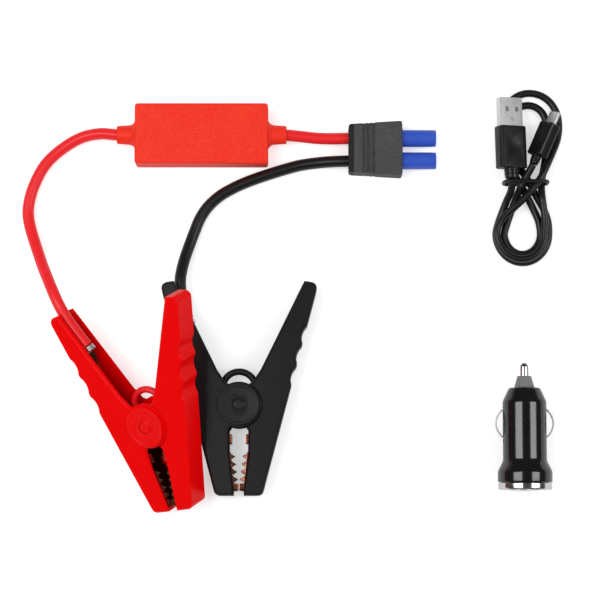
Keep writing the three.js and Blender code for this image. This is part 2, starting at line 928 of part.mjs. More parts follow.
// A gold socket: solder shank through the housing, bored end in the barrel.
function poleContact(y) {
  const seat = gripLength - 1.5 + seatGap;
  const end = gripLength + poleLength - 1.6;
  const outer = contactDiameter / 2;
  const profile = [
    [0, leadSocketDepth + seatGap - 0.1],
    [contactShank / 2, leadSocketDepth + seatGap - 0.1],
    [contactShank / 2, seat],
    [outer, seat],
    [outer, end],
    [contactBore / 2, end],
    [contactBore / 2, end - contactBoreDepth],
    [0, end - contactBoreDepth],
  ];
  return alongX(turned(profile, 16)).translate(0, y, 0);
}

const plug = new THREE.Group();
plug.position.set(plugLeft, plugY, plugZ);
layout.add(plug);
add("plug_grip", plugGrip(), greyRubber, plug);
add("plug_housing_blue", blueHousing(), bluePlastic, plug);
add("plug_contact_red", poleContact(poleHalfPitch), gold, plug);
add("plug_contact_black", poleContact(-poleHalfPitch), gold, plug);

// ---- Socket adapter: drawn along Y from its end ring ----
const bodyRadius = bodyDiameter / 2;
const bodyBore = bodyRadius - bodyWall;
const headBore = headDiameter / 2 - bodyWall;
const noseBore = noseBaseDiameter / 2 - 0.4;

// Both side contacts bulge out through a slot in the body.
function bulge(y) {
  const t = (y - contactFrom) / (contactTo - contactFrom);
  return bodyBore - 0.6 + (contactBulge + bodyWall + 0.6) * Math.sin(Math.PI * t);
}

function adapterBody() {
  const start = ringWidth + seatGap;
  const shell = turned(
    [
      [headDiameter / 2 - 0.4, start],
      [headDiameter / 2, start + 0.6],
      [headDiameter / 2, headEnd],
      [bodyRadius, flareEnd],
      [bodyRadius, bodyEnd],
      [shoulderDiameter / 2, shoulderEnd],
      [noseBore + seatGap, shoulderEnd],
      [noseBore + seatGap, bodyEnd],
      [bodyBore, bodyEnd - 2],
      [bodyBore, flareEnd],
      [headBore, headEnd],
      [headBore, start],
      [headDiameter / 2 - 0.4, start],
    ],
    24,
  );
  const slotHalf = contactWidth / 2 + seatGap + 0.1;
  const slots = [-1, 1].map((side) =>
    box(
      ...span(side, bodyBore - 2, bodyRadius + 1),
      contactFrom - contactRun,
      contactTo + 0.3,
      -slotHalf,
      slotHalf,
    ),
  );
  return cut(shell, ...slots);
}

function noseCone() {
  const chamber = tipChamber / 2;
  const tipHole = tipDiameter / 2 + runGap;
  const flange = bodyEnd - 2.4;
  const profile = [
    [chamber, flange - glandFlange],
    [noseBore + 2, flange - glandFlange],
    [noseBore + 2, flange],
    [noseBore, flange],
    [noseBore, shoulderEnd + seatGap],
    [noseBaseDiameter / 2, shoulderEnd + seatGap],
    [noseTipDiameter / 2, noseEnd],
    [tipHole, noseEnd],
    [tipHole, noseEnd - 4],
    [chamber, noseEnd - 5],
    [chamber, flange - glandFlange],
  ];
  return turned(profile, 16);
}

const collarTop = noseEnd - 5.3;
const collarFoot = collarTop - 2;

function adapterTip() {
  const r = tipDiameter / 2;
  return turned(
    [
      [0, collarFoot],
      [tipCollar / 2, collarFoot],
      [tipCollar / 2, collarTop],
      [r, collarTop],
      [r, tipEnd - 1.2],
      [r * 0.8, tipEnd - 0.4],
      [r * 0.4, tipEnd],
      [0, tipEnd],
    ],
    16,
  );
}

const springSeat = bodyEnd - 4.6;

function tipSpring() {
  const foot = springSeat + tipSpringWire / 2 + seatGap;
  const top = collarFoot - tipSpringWire / 2 - seatGap;
  const steps = tipSpringTurns * 8;
  const points = Array.from({ length: steps + 1 }, (_, i) => {
    const angle = (2 * Math.PI * tipSpringTurns * i) / steps;
    return [2.4 * Math.cos(angle), foot + ((top - foot) * i) / steps, 2.4 * Math.sin(angle)];
  });
  return tube(points, tipSpringWire, 5, steps);
}

function sideContact(side) {
  const steps = 10;
  const arc = Array.from({ length: steps + 1 }, (_, i) => {
    const y = contactFrom + 0.5 + ((contactTo - contactFrom - 1) * i) / steps;
    return [side * bulge(y), y];
  });
  const foot = [
    [side * (bodyBore - seatGap - 0.4), contactFrom - 5],
    [side * (bodyBore - seatGap - 0.4), contactFrom - 1.6],
  ];
  return strip([...foot, ...arc], contactSheet, -contactWidth / 2, contactWidth / 2);
}

function endRing() {
  const outer = ringDiameter / 2;
  const inner = insertDiameter / 2 + seatGap;
  return turned(
    [
      [inner, 0],
      [outer - 0.7, 0],
      [outer, 0.7],
      [outer, ringWidth - 0.5],
      [outer - 0.4, ringWidth],
      [inner, ringWidth],
      [inner, 0],
    ],
    24,
  );
}

const insertFace = 0.5;

function portInsert() {
  const [w, h] = portOpening.map((size) => size / 2);
  const back = portDepth + portWall;
  const face = rod(insertDiameter / 2, insertFace, ringWidth + seatGap, 24);
  const flange = rod(headBore - seatGap, ringWidth + seatGap, ringWidth + seatGap + 1.8, 24);
  const tunnel = box(-w - portWall, w + portWall, ringWidth, back, -h - portWall, h + portWall);
  return cut(join(face, flange, tunnel), box(-w, w, -1, portDepth, -h, h));
}

function portTongueSolid() {
  const [w, h, reach] = portTongue;
  const back = portDepth - seatGap;
  const low = seatGap - portOpening[1] / 2;
  return box(-w / 2, w / 2, back - reach, back, low, low + h);
}

// The circuit board stands on the port's tunnel and holds the tip spring's foot.
function adapterBoardSolid() {
  const [width, thickness] = adapterBoard;
  const back = portDepth + portWall + seatGap;
  return box(-width / 2, width / 2, back, springSeat, -thickness / 2, thickness / 2);
}

const adapter = new THREE.Group();
adapter.position.set(...adapterPlace, headDiameter / 2);
layout.add(adapter);
add("adapter_body", adapterBody(), glossBlack, adapter);
add("adapter_end_ring", endRing(), brightSteel, adapter);
add("adapter_port_insert", portInsert(), blackPlastic, adapter);
add("adapter_port_tongue", portTongueSolid(), whitePlastic, adapter);
add("adapter_board", adapterBoardSolid(), boardGreen, adapter);
add("adapter_nose_cone", noseCone(), nosePlastic, adapter);
add("adapter_tip", adapterTip(), brightSteel, adapter);
add("adapter_tip_spring", tipSpring(), springSteel, adapter);
add("adapter_contact_left", sideContact(-1), brightSteel, adapter);
add("adapter_contact_right", sideContact(1), brightSteel, adapter);

// ---- Charging cable ----
// A flat metal plug shell with its grip and strain relief, drawn along Y from the grip's cable side.
function plugShell([width, length, height], sheet, y0) {
  const outer = plate(roundedRectangle(width, height, 0.6, 2), y0 - 3, y0 + length);
  const bore = plate(
    roundedRectangle(width - 2 * sheet, height - 2 * sheet, 0.4, 2),
    y0 - 1,
    y0 + length + 1,
  );
  return cut(outer, bore).rotateX(Math.PI / 2).rotateZ(Math.PI);
}

function plugGripSolid([width, length, height], [shellWidth, , shellHeight], relief) {
  const body = plate(roundedRectangle(width, height, 1.5, 2), 0, length, 0.5)
    .rotateX(Math.PI / 2)
    .rotateZ(Math.PI);
  const socket = box(
    -shellWidth / 2 - seatGap,
    shellWidth / 2 + seatGap,
    length - 3 - seatGap,
    length + 1,
    -shellHeight / 2 - seatGap,
    shellHeight / 2 + seatGap,
  );
  const sleeve = turned(
    [
      [0, -relief[1]],
      [relief[0] / 2 - 0.5, -relief[1]],
      [relief[0] / 2, 0.5 - relief[1]],
      [relief[0] / 2, 1],
      [0, 1],
    ],
    12,
  );
  return cut(join(body, sleeve), socket);
}

function tongue([width, height], y0, y1, low) {
  return box(-width / 2, width / 2, y0, y1, low, low + height);
}

function cablePlug(name, place, roll, turn, grip, shell, sheet, bar, relief, material) {
  const holder = new THREE.Group();
  holder.position.set(...place);
  holder.rotation.set(0, degrees(roll), degrees(turn), "ZYX");
  const window = wideWindow;
  const windows =
    name === "wide_plug"
      ? [-1, 1].map((side) =>
          box(
            side * 2.6 - window / 2,
            side * 2.6 + window / 2,
            grip[1] + 7.4,
            grip[1] + 7.4 + window * 1.2,
            0,
            shell[2],
          ),
        )
      : [];
  const sleeve = plugShell(shell, sheet, grip[1]);
  add(`${name}_shell`, windows.length ? cut(sleeve, ...windows) : sleeve, brushedSteel, holder);
  add(`${name}_grip`, plugGripSolid(grip, shell, relief), blackPlastic, holder);
  const low = seatGap / 2 + sheet - shell[2] / 2;
  add(`${name}_tongue`, tongue(bar, grip[1] - 0.6, grip[1] + shell[1] - 1, low), material, holder);
  layout.add(holder);
}

cablePlug(
  "wide_plug",
  widePlugPlace,
  widePlugRoll,
  widePlugTurn,
  wideGrip,
  wideShell,
  wideShellSheet,
  wideTongue,
  wideRelief,
  whitePlastic,
);
cablePlug(
  "small_plug",
  smallPlugPlace,
  smallPlugRoll,
  smallPlugTurn,
  smallGrip,
  smallShell,
  smallShellSheet,
  smallTongue,
  smallRelief,
  blackPlastic,
);

// The lower lobe of the figure of eight and its upper inner arc: centre and half sizes.
const lowerLobe = { centre: [106, 31.5], half: [12.6, 13.85] };
const innerArc = { centre: [109.2, 84.2], half: [8.65, 9.3] };
const lowLevel = 1.8;
const highLevel = 5.85;
const laneStep = 4;

// Half an ellipse, drawn in by an inset that may change on the way.
function lobe({ centre, half }, from, to, insetFrom, insetTo, z) {
  const steps = 9;
  return Array.from({ length: steps + 1 }, (_, i) => {
    const t = i / steps;
    const angle = degrees(from + (to - from) * t);
    const inset = insetFrom + (insetTo - insetFrom) * t;
    return [
      centre[0] + (half[0] - inset) * Math.cos(angle),
      centre[1] + (half[1] - inset) * Math.sin(angle),
      z,
    ];
  });
}

// From the wide plug: first loop, inner arc, second loop, outer arc, third loop, small plug.
const cableRoute = [
  [100.5, 56.45, 10.1],
  [100.6, 54.2, 9.6],
  [100.1, 50.9, 7.3],
  [98.3, 46.6, 4.6],
  [96.3, 41.4, 2.7],
  [94.5, 36.4, 1.9],
  ...lobe(lowerLobe, 180, 360, 0, 0, lowLevel),
  [118.2, 37.6, 1.8],
  [116.2, 43.4, 1.9],
  [112.7, 49.6, 2.7],
  [108.8, 57, 3.5],
  [104.4, 64.5, 1.85],
  [101.5, 72, 1.8],
  [100.6, 78.5, 1.8],
  ...lobe(innerArc, 180, 0, 0, 0, lowLevel),
  [118, 79, 1.8],
  [117.9, 74, 1.8],
  [117.2, 67, 2.1],
  [116, 60.8, 3.2],
  [115.1, 55.4, 4.5],
  [115, 51.4, 5.7],
  [115.2, 48, 6.5],
  [115.7, 44.4, 6.4],
  [116.4, 38.1, highLevel],
  ...lobe(lowerLobe, 0, -180, 2.4, 0.1, highLevel),
  [94.6, 35.6, 5.9],
  [97.6, 39.8, 6.2],
  [101.7, 43.4, 7],
  [106.4, 47.8, 7.7],
  [110.6, 52.4, 8.0],
  [114.4, 57.6, 8.2],
  [117.9, 64.6, 6.8],
  [121.1, 71.7, 4.2],
  [123.1, 77.0, 2.4],
  [123.9, 82.5, 1.8],
  [123.2, 89, 1.8],
  [120.4, 94.4, 1.8],
  [116.4, 97.8, 1.8],
  [111.9, 99.3, 1.8],
  [107.4, 99.2, 1.8],
  [103.2, 97.4, 1.8],
  [99.5, 93.8, 1.8],
  [97.2, 88.5, 1.8],
  [96.3, 82, 1.8],
  [96.6, 73.5, 1.8],
  [98.9, 65.5, 1.8],
  [103.3, 58.2, 2.9],
  [107.6, 50.6, 2.7],
  [111.2, 43.6, 1.8],
  [113.8, 37.4, 1.8],
  ...lobe(lowerLobe, 0, -180, laneStep, laneStep, lowLevel),
  [98.6, 36, 1.8],
  [100.1, 40.4, 2],
  [101.9, 45.4, 2.9],
  [103.6, 50, 5.1],
  [105.3, 53.8, 7.6],
  [107.2, 57.6, 8.2],
  [109.1, 60.8, 8.9],
  [110.66, 63.6, 9.4],
];

// The least clear space between two stretches of the cable that aren't neighbours along it.
function leastSelfGap(curve, diameter, samples = 900) {
  const points = curve.getSpacedPoints(samples);
  const apart = Math.ceil((2.5 * diameter * samples) / curve.getLength());
  let least = Infinity;
  for (let i = 0; i < points.length; i += 1)
    for (let j = i + apart; j < points.length; j += 1)
      least = Math.min(least, points[i].distanceTo(points[j]));
  return least - diameter;
}

const cableCurve = new THREE.CatmullRomCurve3(
  cableRoute.map((p) => new THREE.Vector3(...p)),
  false,
  "centripetal",
);
cableCurve.arcLengthDivisions = 1200;
const cableGap = leastSelfGap(cableCurve, cableDiameter);
console.log(`cable ${cableCurve.getLength().toFixed(0)} mm, least self-gap ${cableGap.toFixed(2)} mm`);
add("charging_cable", tubeOn(cableCurve, cableDiameter, 6, 144), blackSilicone);

// The tie: a closed cord round the crossing, flat on the table below.
const tieLoop = [20.7, 12.6]; // width and height of its centreline
const tiePlace = [107.3, 55.3];

function tieCurve() {
  const [width, height] = tieLoop;
  const middle = height / 2 + tieDiameter / 2 + 0.1;
  const points = roundedRectangle(width, height, 4.5).map(
    ([x, z]) => new THREE.Vector3(tiePlace[0] + x, tiePlace[1], z + middle),
  );
  return new THREE.CatmullRomCurve3(points, true, "centripetal");
}

function closedTube(curve, diameter, sides, steps) {
  const points = curve.getSpacedPoints(steps).slice(0, steps);
  const frames = curve.computeFrenetFrames(steps, true);
  const position = [];
  const index = [];
  points.forEach((p, i) => {
    for (let k = 0; k < sides; k += 1) {
      const angle = (2 * Math.PI * k) / sides;
      const v = p
        .clone()
        .addScaledVector(frames.normals[i], (Math.cos(angle) * diameter) / 2)
        .addScaledVector(frames.binormals[i], (Math.sin(angle) * diameter) / 2);
      position.push(v.x, v.y, v.z);
      const a = i * sides + k;
      const b = i * sides + ((k + 1) % sides);
      const c = ((i + 1) % steps) * sides + k;
      const d = ((i + 1) % steps) * sides + ((k + 1) % sides);
      index.push(a, b, d, a, d, c);
    }
  });
  const geometry = new THREE.BufferGeometry();
  geometry.setAttribute("position", new THREE.Float32BufferAttribute(position, 3));
  geometry.setIndex(index);
  return geometry;
}

add("cable_tie", closedTube(tieCurve(), tieDiameter, 6, 26), blackPlastic);

// ---- Origin: the middle of the footprint of everything but the free cords, on the table ----
const onCords = /lead$|^charging_cable|^wide_plug|^small_plug|^cable_tie/;
const footprint = new THREE.Box3();
layout.updateMatrixWorld(true);
layout.traverse((o) => {
  if (o.isMesh && !onCords.test(o.name)) footprint.expandByObject(o, true);
});
const middle = footprint.getCenter(new THREE.Vector3());
layout.position.set(-middle.x, -middle.y, -footprint.min.z);

const group = new THREE.Group();
group.add(layout);
export default group;
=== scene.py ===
import json
import math
import bmesh
import bpy
from mathutils import Euler, Matrix, Vector


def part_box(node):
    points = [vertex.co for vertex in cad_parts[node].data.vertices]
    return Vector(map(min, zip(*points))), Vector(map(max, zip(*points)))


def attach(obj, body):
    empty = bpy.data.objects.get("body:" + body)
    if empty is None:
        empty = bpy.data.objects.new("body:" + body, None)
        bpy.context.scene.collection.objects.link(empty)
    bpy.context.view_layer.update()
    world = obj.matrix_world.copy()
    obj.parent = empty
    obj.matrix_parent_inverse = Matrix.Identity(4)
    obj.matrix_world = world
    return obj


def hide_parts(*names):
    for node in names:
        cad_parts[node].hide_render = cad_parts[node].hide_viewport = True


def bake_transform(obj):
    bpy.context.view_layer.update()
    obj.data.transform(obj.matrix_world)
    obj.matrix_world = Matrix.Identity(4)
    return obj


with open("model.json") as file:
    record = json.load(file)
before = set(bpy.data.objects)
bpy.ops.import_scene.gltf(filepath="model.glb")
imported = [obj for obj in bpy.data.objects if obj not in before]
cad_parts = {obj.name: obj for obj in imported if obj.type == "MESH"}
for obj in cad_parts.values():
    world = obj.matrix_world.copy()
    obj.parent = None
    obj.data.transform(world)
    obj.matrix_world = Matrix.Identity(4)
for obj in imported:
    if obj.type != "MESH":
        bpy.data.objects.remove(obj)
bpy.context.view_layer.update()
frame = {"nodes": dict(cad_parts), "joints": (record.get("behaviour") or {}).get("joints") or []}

# Lengths below are millimetres in each piece's own drawing; place matrices turn them into metres.
mm = Matrix.Scale(0.001, 4)
layoutCorner = (-78.4, 63.65)  # where the layout has the low corner of the module's top cover
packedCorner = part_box("module_cover_top")[0]
shift = Vector((packedCorner.x * 1000 - layoutCorner[0], packedCorner.y * 1000 - layoutCorner[1], 0.0))
onTable = Matrix.Translation(shift * 0.001) @ mm


def inMetres(point, place=onTable):
    return tuple(place @ Vector(point))


def linked(made):
    bpy.context.scene.collection.objects.link(made)
    return made


# Camera: almost straight down, leaning a few degrees towards the near edge
view = {"distance": 1120.0, "lean": 5.75, "lens": 141.12, "sensor": 36.0, "nearest": 0.05}


def setCamera():
    data = bpy.data.cameras.new("camera")
    data.lens, data.sensor_width, data.clip_start = view["lens"], view["sensor"], view["nearest"]
    lean = math.radians(view["lean"])
    camera = linked(bpy.data.objects.new("camera", data))
    back = Vector((0.0, -math.sin(lean), math.cos(lean))) * view["distance"]
    camera.location = (shift + back) * 0.001
    camera.rotation_euler = (lean, 0.0, 0.0)
    bpy.context.scene.camera = camera


setCamera()
print("camera set")


# Node trees: one output socket with arithmetic, for shaders and geometry alike
class Wire:
    def __init__(self, tree, socket=None):
        self.tree = tree
        self.socket = socket

    def node(self, kind, inputs=None, out=0, **settings):
        made = self.tree.nodes.new(kind)
        for key, value in settings.items():
            setattr(made, key, value)
        for key, value in (inputs or {}).items():
            if isinstance(value, Wire):
                self.tree.links.new(value.socket, made.inputs[key])
            else:
                made.inputs[key].default_value = value
        return Wire(self.tree, made.outputs[out] if len(made.outputs) else None)

    def out(self, name):
        return Wire(self.tree, self.socket.node.outputs[name])

    def merged(self, *others):  # several geometries as one
        made = self.tree.nodes.new("GeometryNodeJoinGeometry")
        for wire in (self, *others):
            self.tree.links.new(wire.socket, made.inputs[0])
        return Wire(self.tree, made.outputs[0])

    def maths(self, operation, *values, clamp=False):
        return self.node("ShaderNodeMath", dict(enumerate(values)), operation=operation, use_clamp=clamp)

    def clear(self, low, high):  # 0 below low, 1 above high, smooth between
        inputs = {"Value": self, "From Min": low, "From Max": high}
        return self.node("ShaderNodeMapRange", inputs, interpolation_type="SMOOTHSTEP")

    def __add__(self, other):
        return self.maths("ADD", self, other)

    def __radd__(self, other):
        return self.maths("ADD", other, self)

    def __sub__(self, other):
        return self.maths("SUBTRACT", self, other)

    def __mul__(self, other):
        return self.maths("MULTIPLY", self, other)


def tint(r, g, b):  # a colour as the eye reads it, 0 to 255, turned into light
    def light(c):
        c /= 255.0
        return c / 12.92 if c <= 0.04045 else ((c + 0.055) / 1.055) ** 2.4
    return (light(r), light(g), light(b), 1.0)


def blendColours(factor, a, b):
    return factor.node("ShaderNodeMix", {0: factor, 6: a, 7: b}, 2, data_type="RGBA")


def emptyTree(owner):  # the start of a material's or a world's node tree
    owner.use_nodes = True
    owner.node_tree.nodes.clear()
    return Wire(owner.node_tree)


# Finishes
finishes = {}


class Finish:
    def __init__(self, name, colour, roughness, metallic=0.0, gloss=0.5, coat=0.0, coatRoughness=0.03):
        self.material = bpy.data.materials.new(name)
        self.start = emptyTree(self.material)
        self.material.diffuse_color = colour
        self.material.roughness = roughness
        self.material.metallic = metallic
        surface = self.start.node("ShaderNodeBsdfPrincipled", {
            "Base Color": colour, "Roughness": roughness, "Metallic": metallic,
            "Specular IOR Level": gloss, "Coat Weight": coat, "Coat Roughness": coatRoughness,
        })
        self.inputs = surface.socket.node.inputs
        self.start.node("ShaderNodeOutputMaterial", {"Surface": surface})
        finishes[name] = self

    def at(self, scale=(1000.0, 1000.0, 1000.0)):
        coordinates = self.start.node("ShaderNodeTexCoord").out("Object")
        return self.start.node("ShaderNodeMapping", {"Vector": coordinates, "Scale": scale})

    def stored(self, name):  # an attribute that the mesh carries
        return self.start.node("ShaderNodeAttribute", None, 2, attribute_name=name)

    def noise(self, where, scale, detail=2.0, roughness=0.5):
        inputs = {"Vector": where, "Scale": scale, "Detail": detail, "Roughness": roughness}
        return self.start.node("ShaderNodeTexNoise", inputs, noise_dimensions="3D")

    def cover(self, colour, rough, height, strength, depth):
        bump = self.start.node("ShaderNodeBump", {"Height": height, "Strength": strength, "Distance": depth})
        for key, wire in (("Base Color", colour), ("Roughness", rough), ("Normal", bump)):
            self.start.tree.links.new(wire.socket, self.inputs[key])


# Moulded plastics: dark and light tone, roughness, grain, gloss, coat and its roughness.
# Grain: noise per mm, contrast of the mottle, strength and depth of the bump.
plastics = {
    "red_plastic": ((228, 0, 0), (246, 1, 4), 0.26, (2.2, 0.7, 0.2, 0.00012), 0.08),
    "black_plastic": ((17, 17, 19), (28, 28, 30), 0.31, (2.2, 0.8, 0.25, 0.00012), 0.38),
    "cap_black": ((20, 20, 20), (42, 41, 40), 0.42, (2.4, 1.8, 0.5, 0.00014), 0.35),
    "cap_red": ((228, 0, 0), (246, 1, 4), 0.34, (2.6, 0.8, 0.3, 0.00012), 0.14),
    "module_orange": ((238, 18, 2), (255, 64, 34), 0.48, (2.1, 2.6, 0.4, 0.00016), 0.25),
    "grey_overmould": ((54, 54, 56), (86, 86, 88), 0.6, (2.2, 2.2, 0.5, 0.0002), 0.3),
    "blue_plastic": ((34, 72, 184), (64, 100, 210), 0.3, (1.6, 0.8, 0.2, 0.0001), 0.4),
    "grip_black": ((12, 12, 13), (27, 27, 29), 0.3, (2.2, 1.2, 0.3, 0.00012), 0.42),
    "gloss_black": ((12, 12, 13), (24, 24, 26), 0.15, (0.8, 0.5, 0.04, 0.00005), 0.42, 0.35, 0.13),
    "nose_grey": ((96, 96, 98), (142, 142, 144), 0.36, (2.0, 1.0, 0.25, 0.0001)),
    "white_plastic": ((222, 222, 216), (240, 240, 235), 0.45, (1.4, 0.7, 0.15, 0.0001)),
    "relay_black": ((26, 26, 28), (42, 42, 44), 0.5, (1.8, 1.0, 0.3, 0.0001)),
}
# Painted light and shade, as a second tone on the low side of a plane: axis, place, softness, tone.
# Below 4.85 mm the module's lower cover and the low halves of its glands take a duller, pinker tone: painted
# floor bounce.
# The plug's sloped face by the leads takes a dark tone: painted shade.
paintedLightAndShade = {
    "module_orange": (2, 4.85, 0.1, (240, 60, 46)),
    "grey_overmould": (0, 23.1 + 2.55 + shift.x, 0.08, (34, 31, 32)),
}
# The mottle's weight in the roughness, and the wide clouds over it: noise per mm and weights
mottling = {"rough": 0.14, "cloudPitch": 0.06, "cloudColour": 0.5, "cloudRough": 0.08}


def mouldedPlastic(name, dark, light, roughness, grain, gloss=0.5, coat=0.0, coatRoughness=0.03):
    pitch, contrast, strength, depth = grain
    made = Finish(name, tint(*light), roughness, 0.0, gloss, coat, coatRoughness)
    where = made.at()
    fine = made.noise(where, pitch, 3.0, 0.6)
    wide = made.noise(where, mottling["cloudPitch"])
    mottle = (fine - 0.5) * contrast + (wide - 0.5) * mottling["cloudColour"] + 0.5
    colour = blendColours(mottle.maths("ADD", mottle, 0.0, clamp=True), tint(*dark), tint(*light))
    # Painted light and shade: a second tone below a plane. It paints floor bounce on the module's lower
    # parts and shade on the plug's lead-side face.
    if name in paintedLightAndShade:
        axis, edge, soft, tone = paintedLightAndShade[name]
        paintedSide = made.start.node("ShaderNodeSeparateXYZ", {0: made.at()}, axis)
        colour = blendColours(paintedSide.clear(edge - soft, edge + soft), tint(*tone), colour)
    rough = (fine - 0.5) * mottling["rough"] + (wide - 0.5) * mottling["cloudRough"] + roughness
    made.cover(colour, rough, fine, strength, depth)


for plasticName, row in plastics.items():
    mouldedPlastic(plasticName, *row)

# Skins of the leads: dark and light tone, roughness, gloss
skins = {
    "red_silicone": ((232, 12, 22), (255, 34, 42), 0.34, 0.45),
    "black_silicone": ((16, 16, 17), (28, 28, 29), 0.34, 0.5),
    "cable_black": ((12, 12, 13), (24, 24, 26), 0.36, 0.6),
}
skinHaze = {
    "radius": 2.75, "length": 60.0, "pitch": 0.9, "rough": 0.16, "strength": 0.22, "depth": 0.00012,
    "dustPitch": 2.4, "dust": (0.66, 0.8), "dustRough": 0.1, "dustHeight": 0.4,
}


def silicone(name, dark, light, roughness, gloss):  # a fine lengthwise haze and a little dust
    made = Finish(name, tint(*light), roughness, 0.0, gloss)
    ring = made.stored("around") * (2.0 * math.pi)
    where = ring.node("ShaderNodeCombineXYZ", {
        0: ring.maths("COSINE", ring) * skinHaze["radius"],
        1: ring.maths("SINE", ring) * skinHaze["radius"],
        2: made.stored("along") * skinHaze["length"],
    })
    haze = made.noise(where, skinHaze["pitch"], 3.0, 0.55)
    dust = made.noise(made.at(), skinHaze["dustPitch"]).clear(*skinHaze["dust"])
    rough = roughness - skinHaze["rough"] / 2 + haze * skinHaze["rough"] + dust * skinHaze["dustRough"]
    colour = blendColours(haze, tint(*dark), tint(*light))
    height = haze + dust * skinHaze["dustHeight"]
    made.cover(colour, rough, height, skinHaze["strength"], skinHaze["depth"])


for skinName, row in skins.items():
    silicone(skinName, *row)

# Metals: dark and light tone, roughness, streaks per mm along X, Y and Z
metals = {
    "copper": ((138, 76, 54), (232, 162, 134), 0.2, (0.3, 0.3, 0.6)),
    "spring_steel": ((140, 140, 142), (205, 205, 206), 0.34, (1.4, 1.4, 1.4)),
    "bright_steel": ((190, 190, 192), (236, 236, 238), 0.14, (1.0, 1.0, 1.0)),
    "brushed_steel": ((222, 222, 224), (250, 250, 252), 0.38, (5.0, 0.25, 5.0)),
    "contact_steel": ((228, 228, 228), (250, 250, 250), 0.5, (1.0, 1.0, 1.0)),
    "gold_plate": ((186, 140, 44), (236, 192, 92), 0.26, (1.2, 1.2, 1.2)),
}


polish = {"streakRough": 0.2, "cloudRough": 0.16, "cloudPitch": 0.5, "strength": 0.12, "depth": 0.00008}


def metal(name, dark, light, roughness, streak):
    made = Finish(name, tint(*light), roughness, 1.0)
    lines = made.noise(made.at([s * 1000.0 for s in streak]), 1.0, 4.0, 0.6)
    cloud = made.noise(made.at(), polish["cloudPitch"], 3.0, 0.6)
    rough = (lines - 0.5) * polish["streakRough"] + (cloud - 0.5) * polish["cloudRough"] + roughness
    colour = blendColours(lines * 0.5 + cloud * 0.5, tint(*dark), tint(*light))
    made.cover(colour, rough, lines, polish["strength"], polish["depth"])


for metalName, row in metals.items():
    metal(metalName, *row)


def circuitBoard():
    made = Finish("board_green", tint(28, 92, 54), 0.42)
    where = made.at()
    tracks = made.start.node("ShaderNodeTexBrick", {
        "Vector": where, "Color1": tint(34, 104, 62), "Color2": tint(28, 88, 52),
        "Mortar": tint(22, 70, 40), "Scale": 0.35, "Mortar Size": 0.03,
    }, offset=0.35)
    made.cover(tracks, made.noise(where, 1.2) * 0.2 + 0.32, made.noise(where, 3.0), 0.2, 0.00008)


circuitBoard()
print("finishes made", len(finishes))


# Mesh helpers
def meshObject(name, points, faces, edges=()):
    mesh = bpy.data.meshes.new(name)
    mesh.from_pydata([tuple(p) for p in points], edges, faces)
    return linked(bpy.data.objects.new(name, mesh))


def baked(body):  # the evaluated mesh takes the place of the body's own, and its modifiers go
    bpy.context.view_layer.update()
    evaluated = body.evaluated_get(bpy.context.evaluated_depsgraph_get())
    mesh = bpy.data.meshes.new_from_object(evaluated)
    body.modifiers.clear()
    body.data = mesh
    return body


def carve(body, *steps):  # steps: (operation, tool, tool, ...), the tools are used up
    for operation, *tools in steps:
        for tool in tools:
            knife = body.modifiers.new("carve", "BOOLEAN")
            knife.operation = operation
            knife.solver = "EXACT"
            knife.object = tool
        baked(body)
        for tool in tools:
            bpy.data.objects.remove(tool)
    return body


def bevelled(body, width, angle):
    edge = body.modifiers.new("edge", "BEVEL")
    edge.width, edge.segments, edge.limit_method = width, 2, "ANGLE"
    edge.angle_limit = math.radians(angle)
    return baked(body)


def tidyMesh(body, merge=0.0005):
    work = bmesh.new()
    work.from_mesh(body.data)
    bmesh.ops.remove_doubles(work, verts=work.verts, dist=merge)
    bmesh.ops.dissolve_degenerate(work, edges=work.edges, dist=merge)
    bmesh.ops.recalc_face_normals(work, faces=work.faces)
    work.to_mesh(body.data)
    work.free()
    return body


def weld(body, gap=4e-6):  # in metres: closes the hairlines and small holes that a cut can leave
    work = bmesh.new()
    work.from_mesh(body.data)
    bmesh.ops.remove_doubles(work, verts=work.verts, dist=gap)
    rims = [edge for edge in work.edges if edge.is_boundary]
    bmesh.ops.holes_fill(work, edges=rims, sides=3)
    work.to_mesh(body.data)
    work.free()


def smoothed(body, angle):
    body.data.polygons.foreach_set("use_smooth", [True] * len(body.data.polygons))
    body.data.set_sharp_from_angle(angle=math.radians(angle))


def seat(body, place, finish, ridesOn, angle=32.0):  # a piece takes its node's place
    node = body.name.partition(".")[0]
    body.name = node + "_form"
    body.data.transform(place)
    if place.to_3x3().determinant() < 0:
        body.data.flip_normals()
    weld(body)
    body.data.materials.clear()
    body.data.materials.append(finishes[finish].material)
    body.data.polygons.foreach_set("material_index", [0] * len(body.data.polygons))
    smoothed(body, angle)
    if ridesOn:
        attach(body, ridesOn)
    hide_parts(node)
    return body


def rounded(corners, steps=7):  # each corner is x, y and how far back its rounding starts
    line = []
    for i, corner in enumerate(corners):
        at = Vector(corner[:2])
        radius = corner[2] if len(corner) > 2 else 0.0
        if not radius:
            line.append(at)
            continue
        start = at + (Vector(corners[i - 1][:2]) - at).normalized() * radius
        end = at + (Vector(corners[(i + 1) % len(corners)][:2]) - at).normalized() * radius
        for k in range(steps + 1):
            t = k / steps
            line.append(start * (1 - t) ** 2 + at * 2 * t * (1 - t) + end * t * t)
    return line


def roundedBox(x0, x1, y0, y1, radius, steps=7):
    return rounded([(x0, y0, radius), (x1, y0, radius), (x1, y1, radius), (x0, y1, radius)], steps)


def sided(line, side):  # an outline drawn on the right, or its mirror image on the left
    return line if side > 0 else [Vector((-p.x, p.y)) for p in reversed(line)]


def inset(line, amount):
    moved = []
    for i, p in enumerate(line):
        before = (p - line[i - 1]).normalized()
        after = (line[(i + 1) % len(line)] - p).normalized()
        a = Vector((-before.y, before.x))
        b = Vector((-after.y, after.x))
        moved.append(p + (a + b) * (amount / (1.0 + a.dot(b))))
    return moved


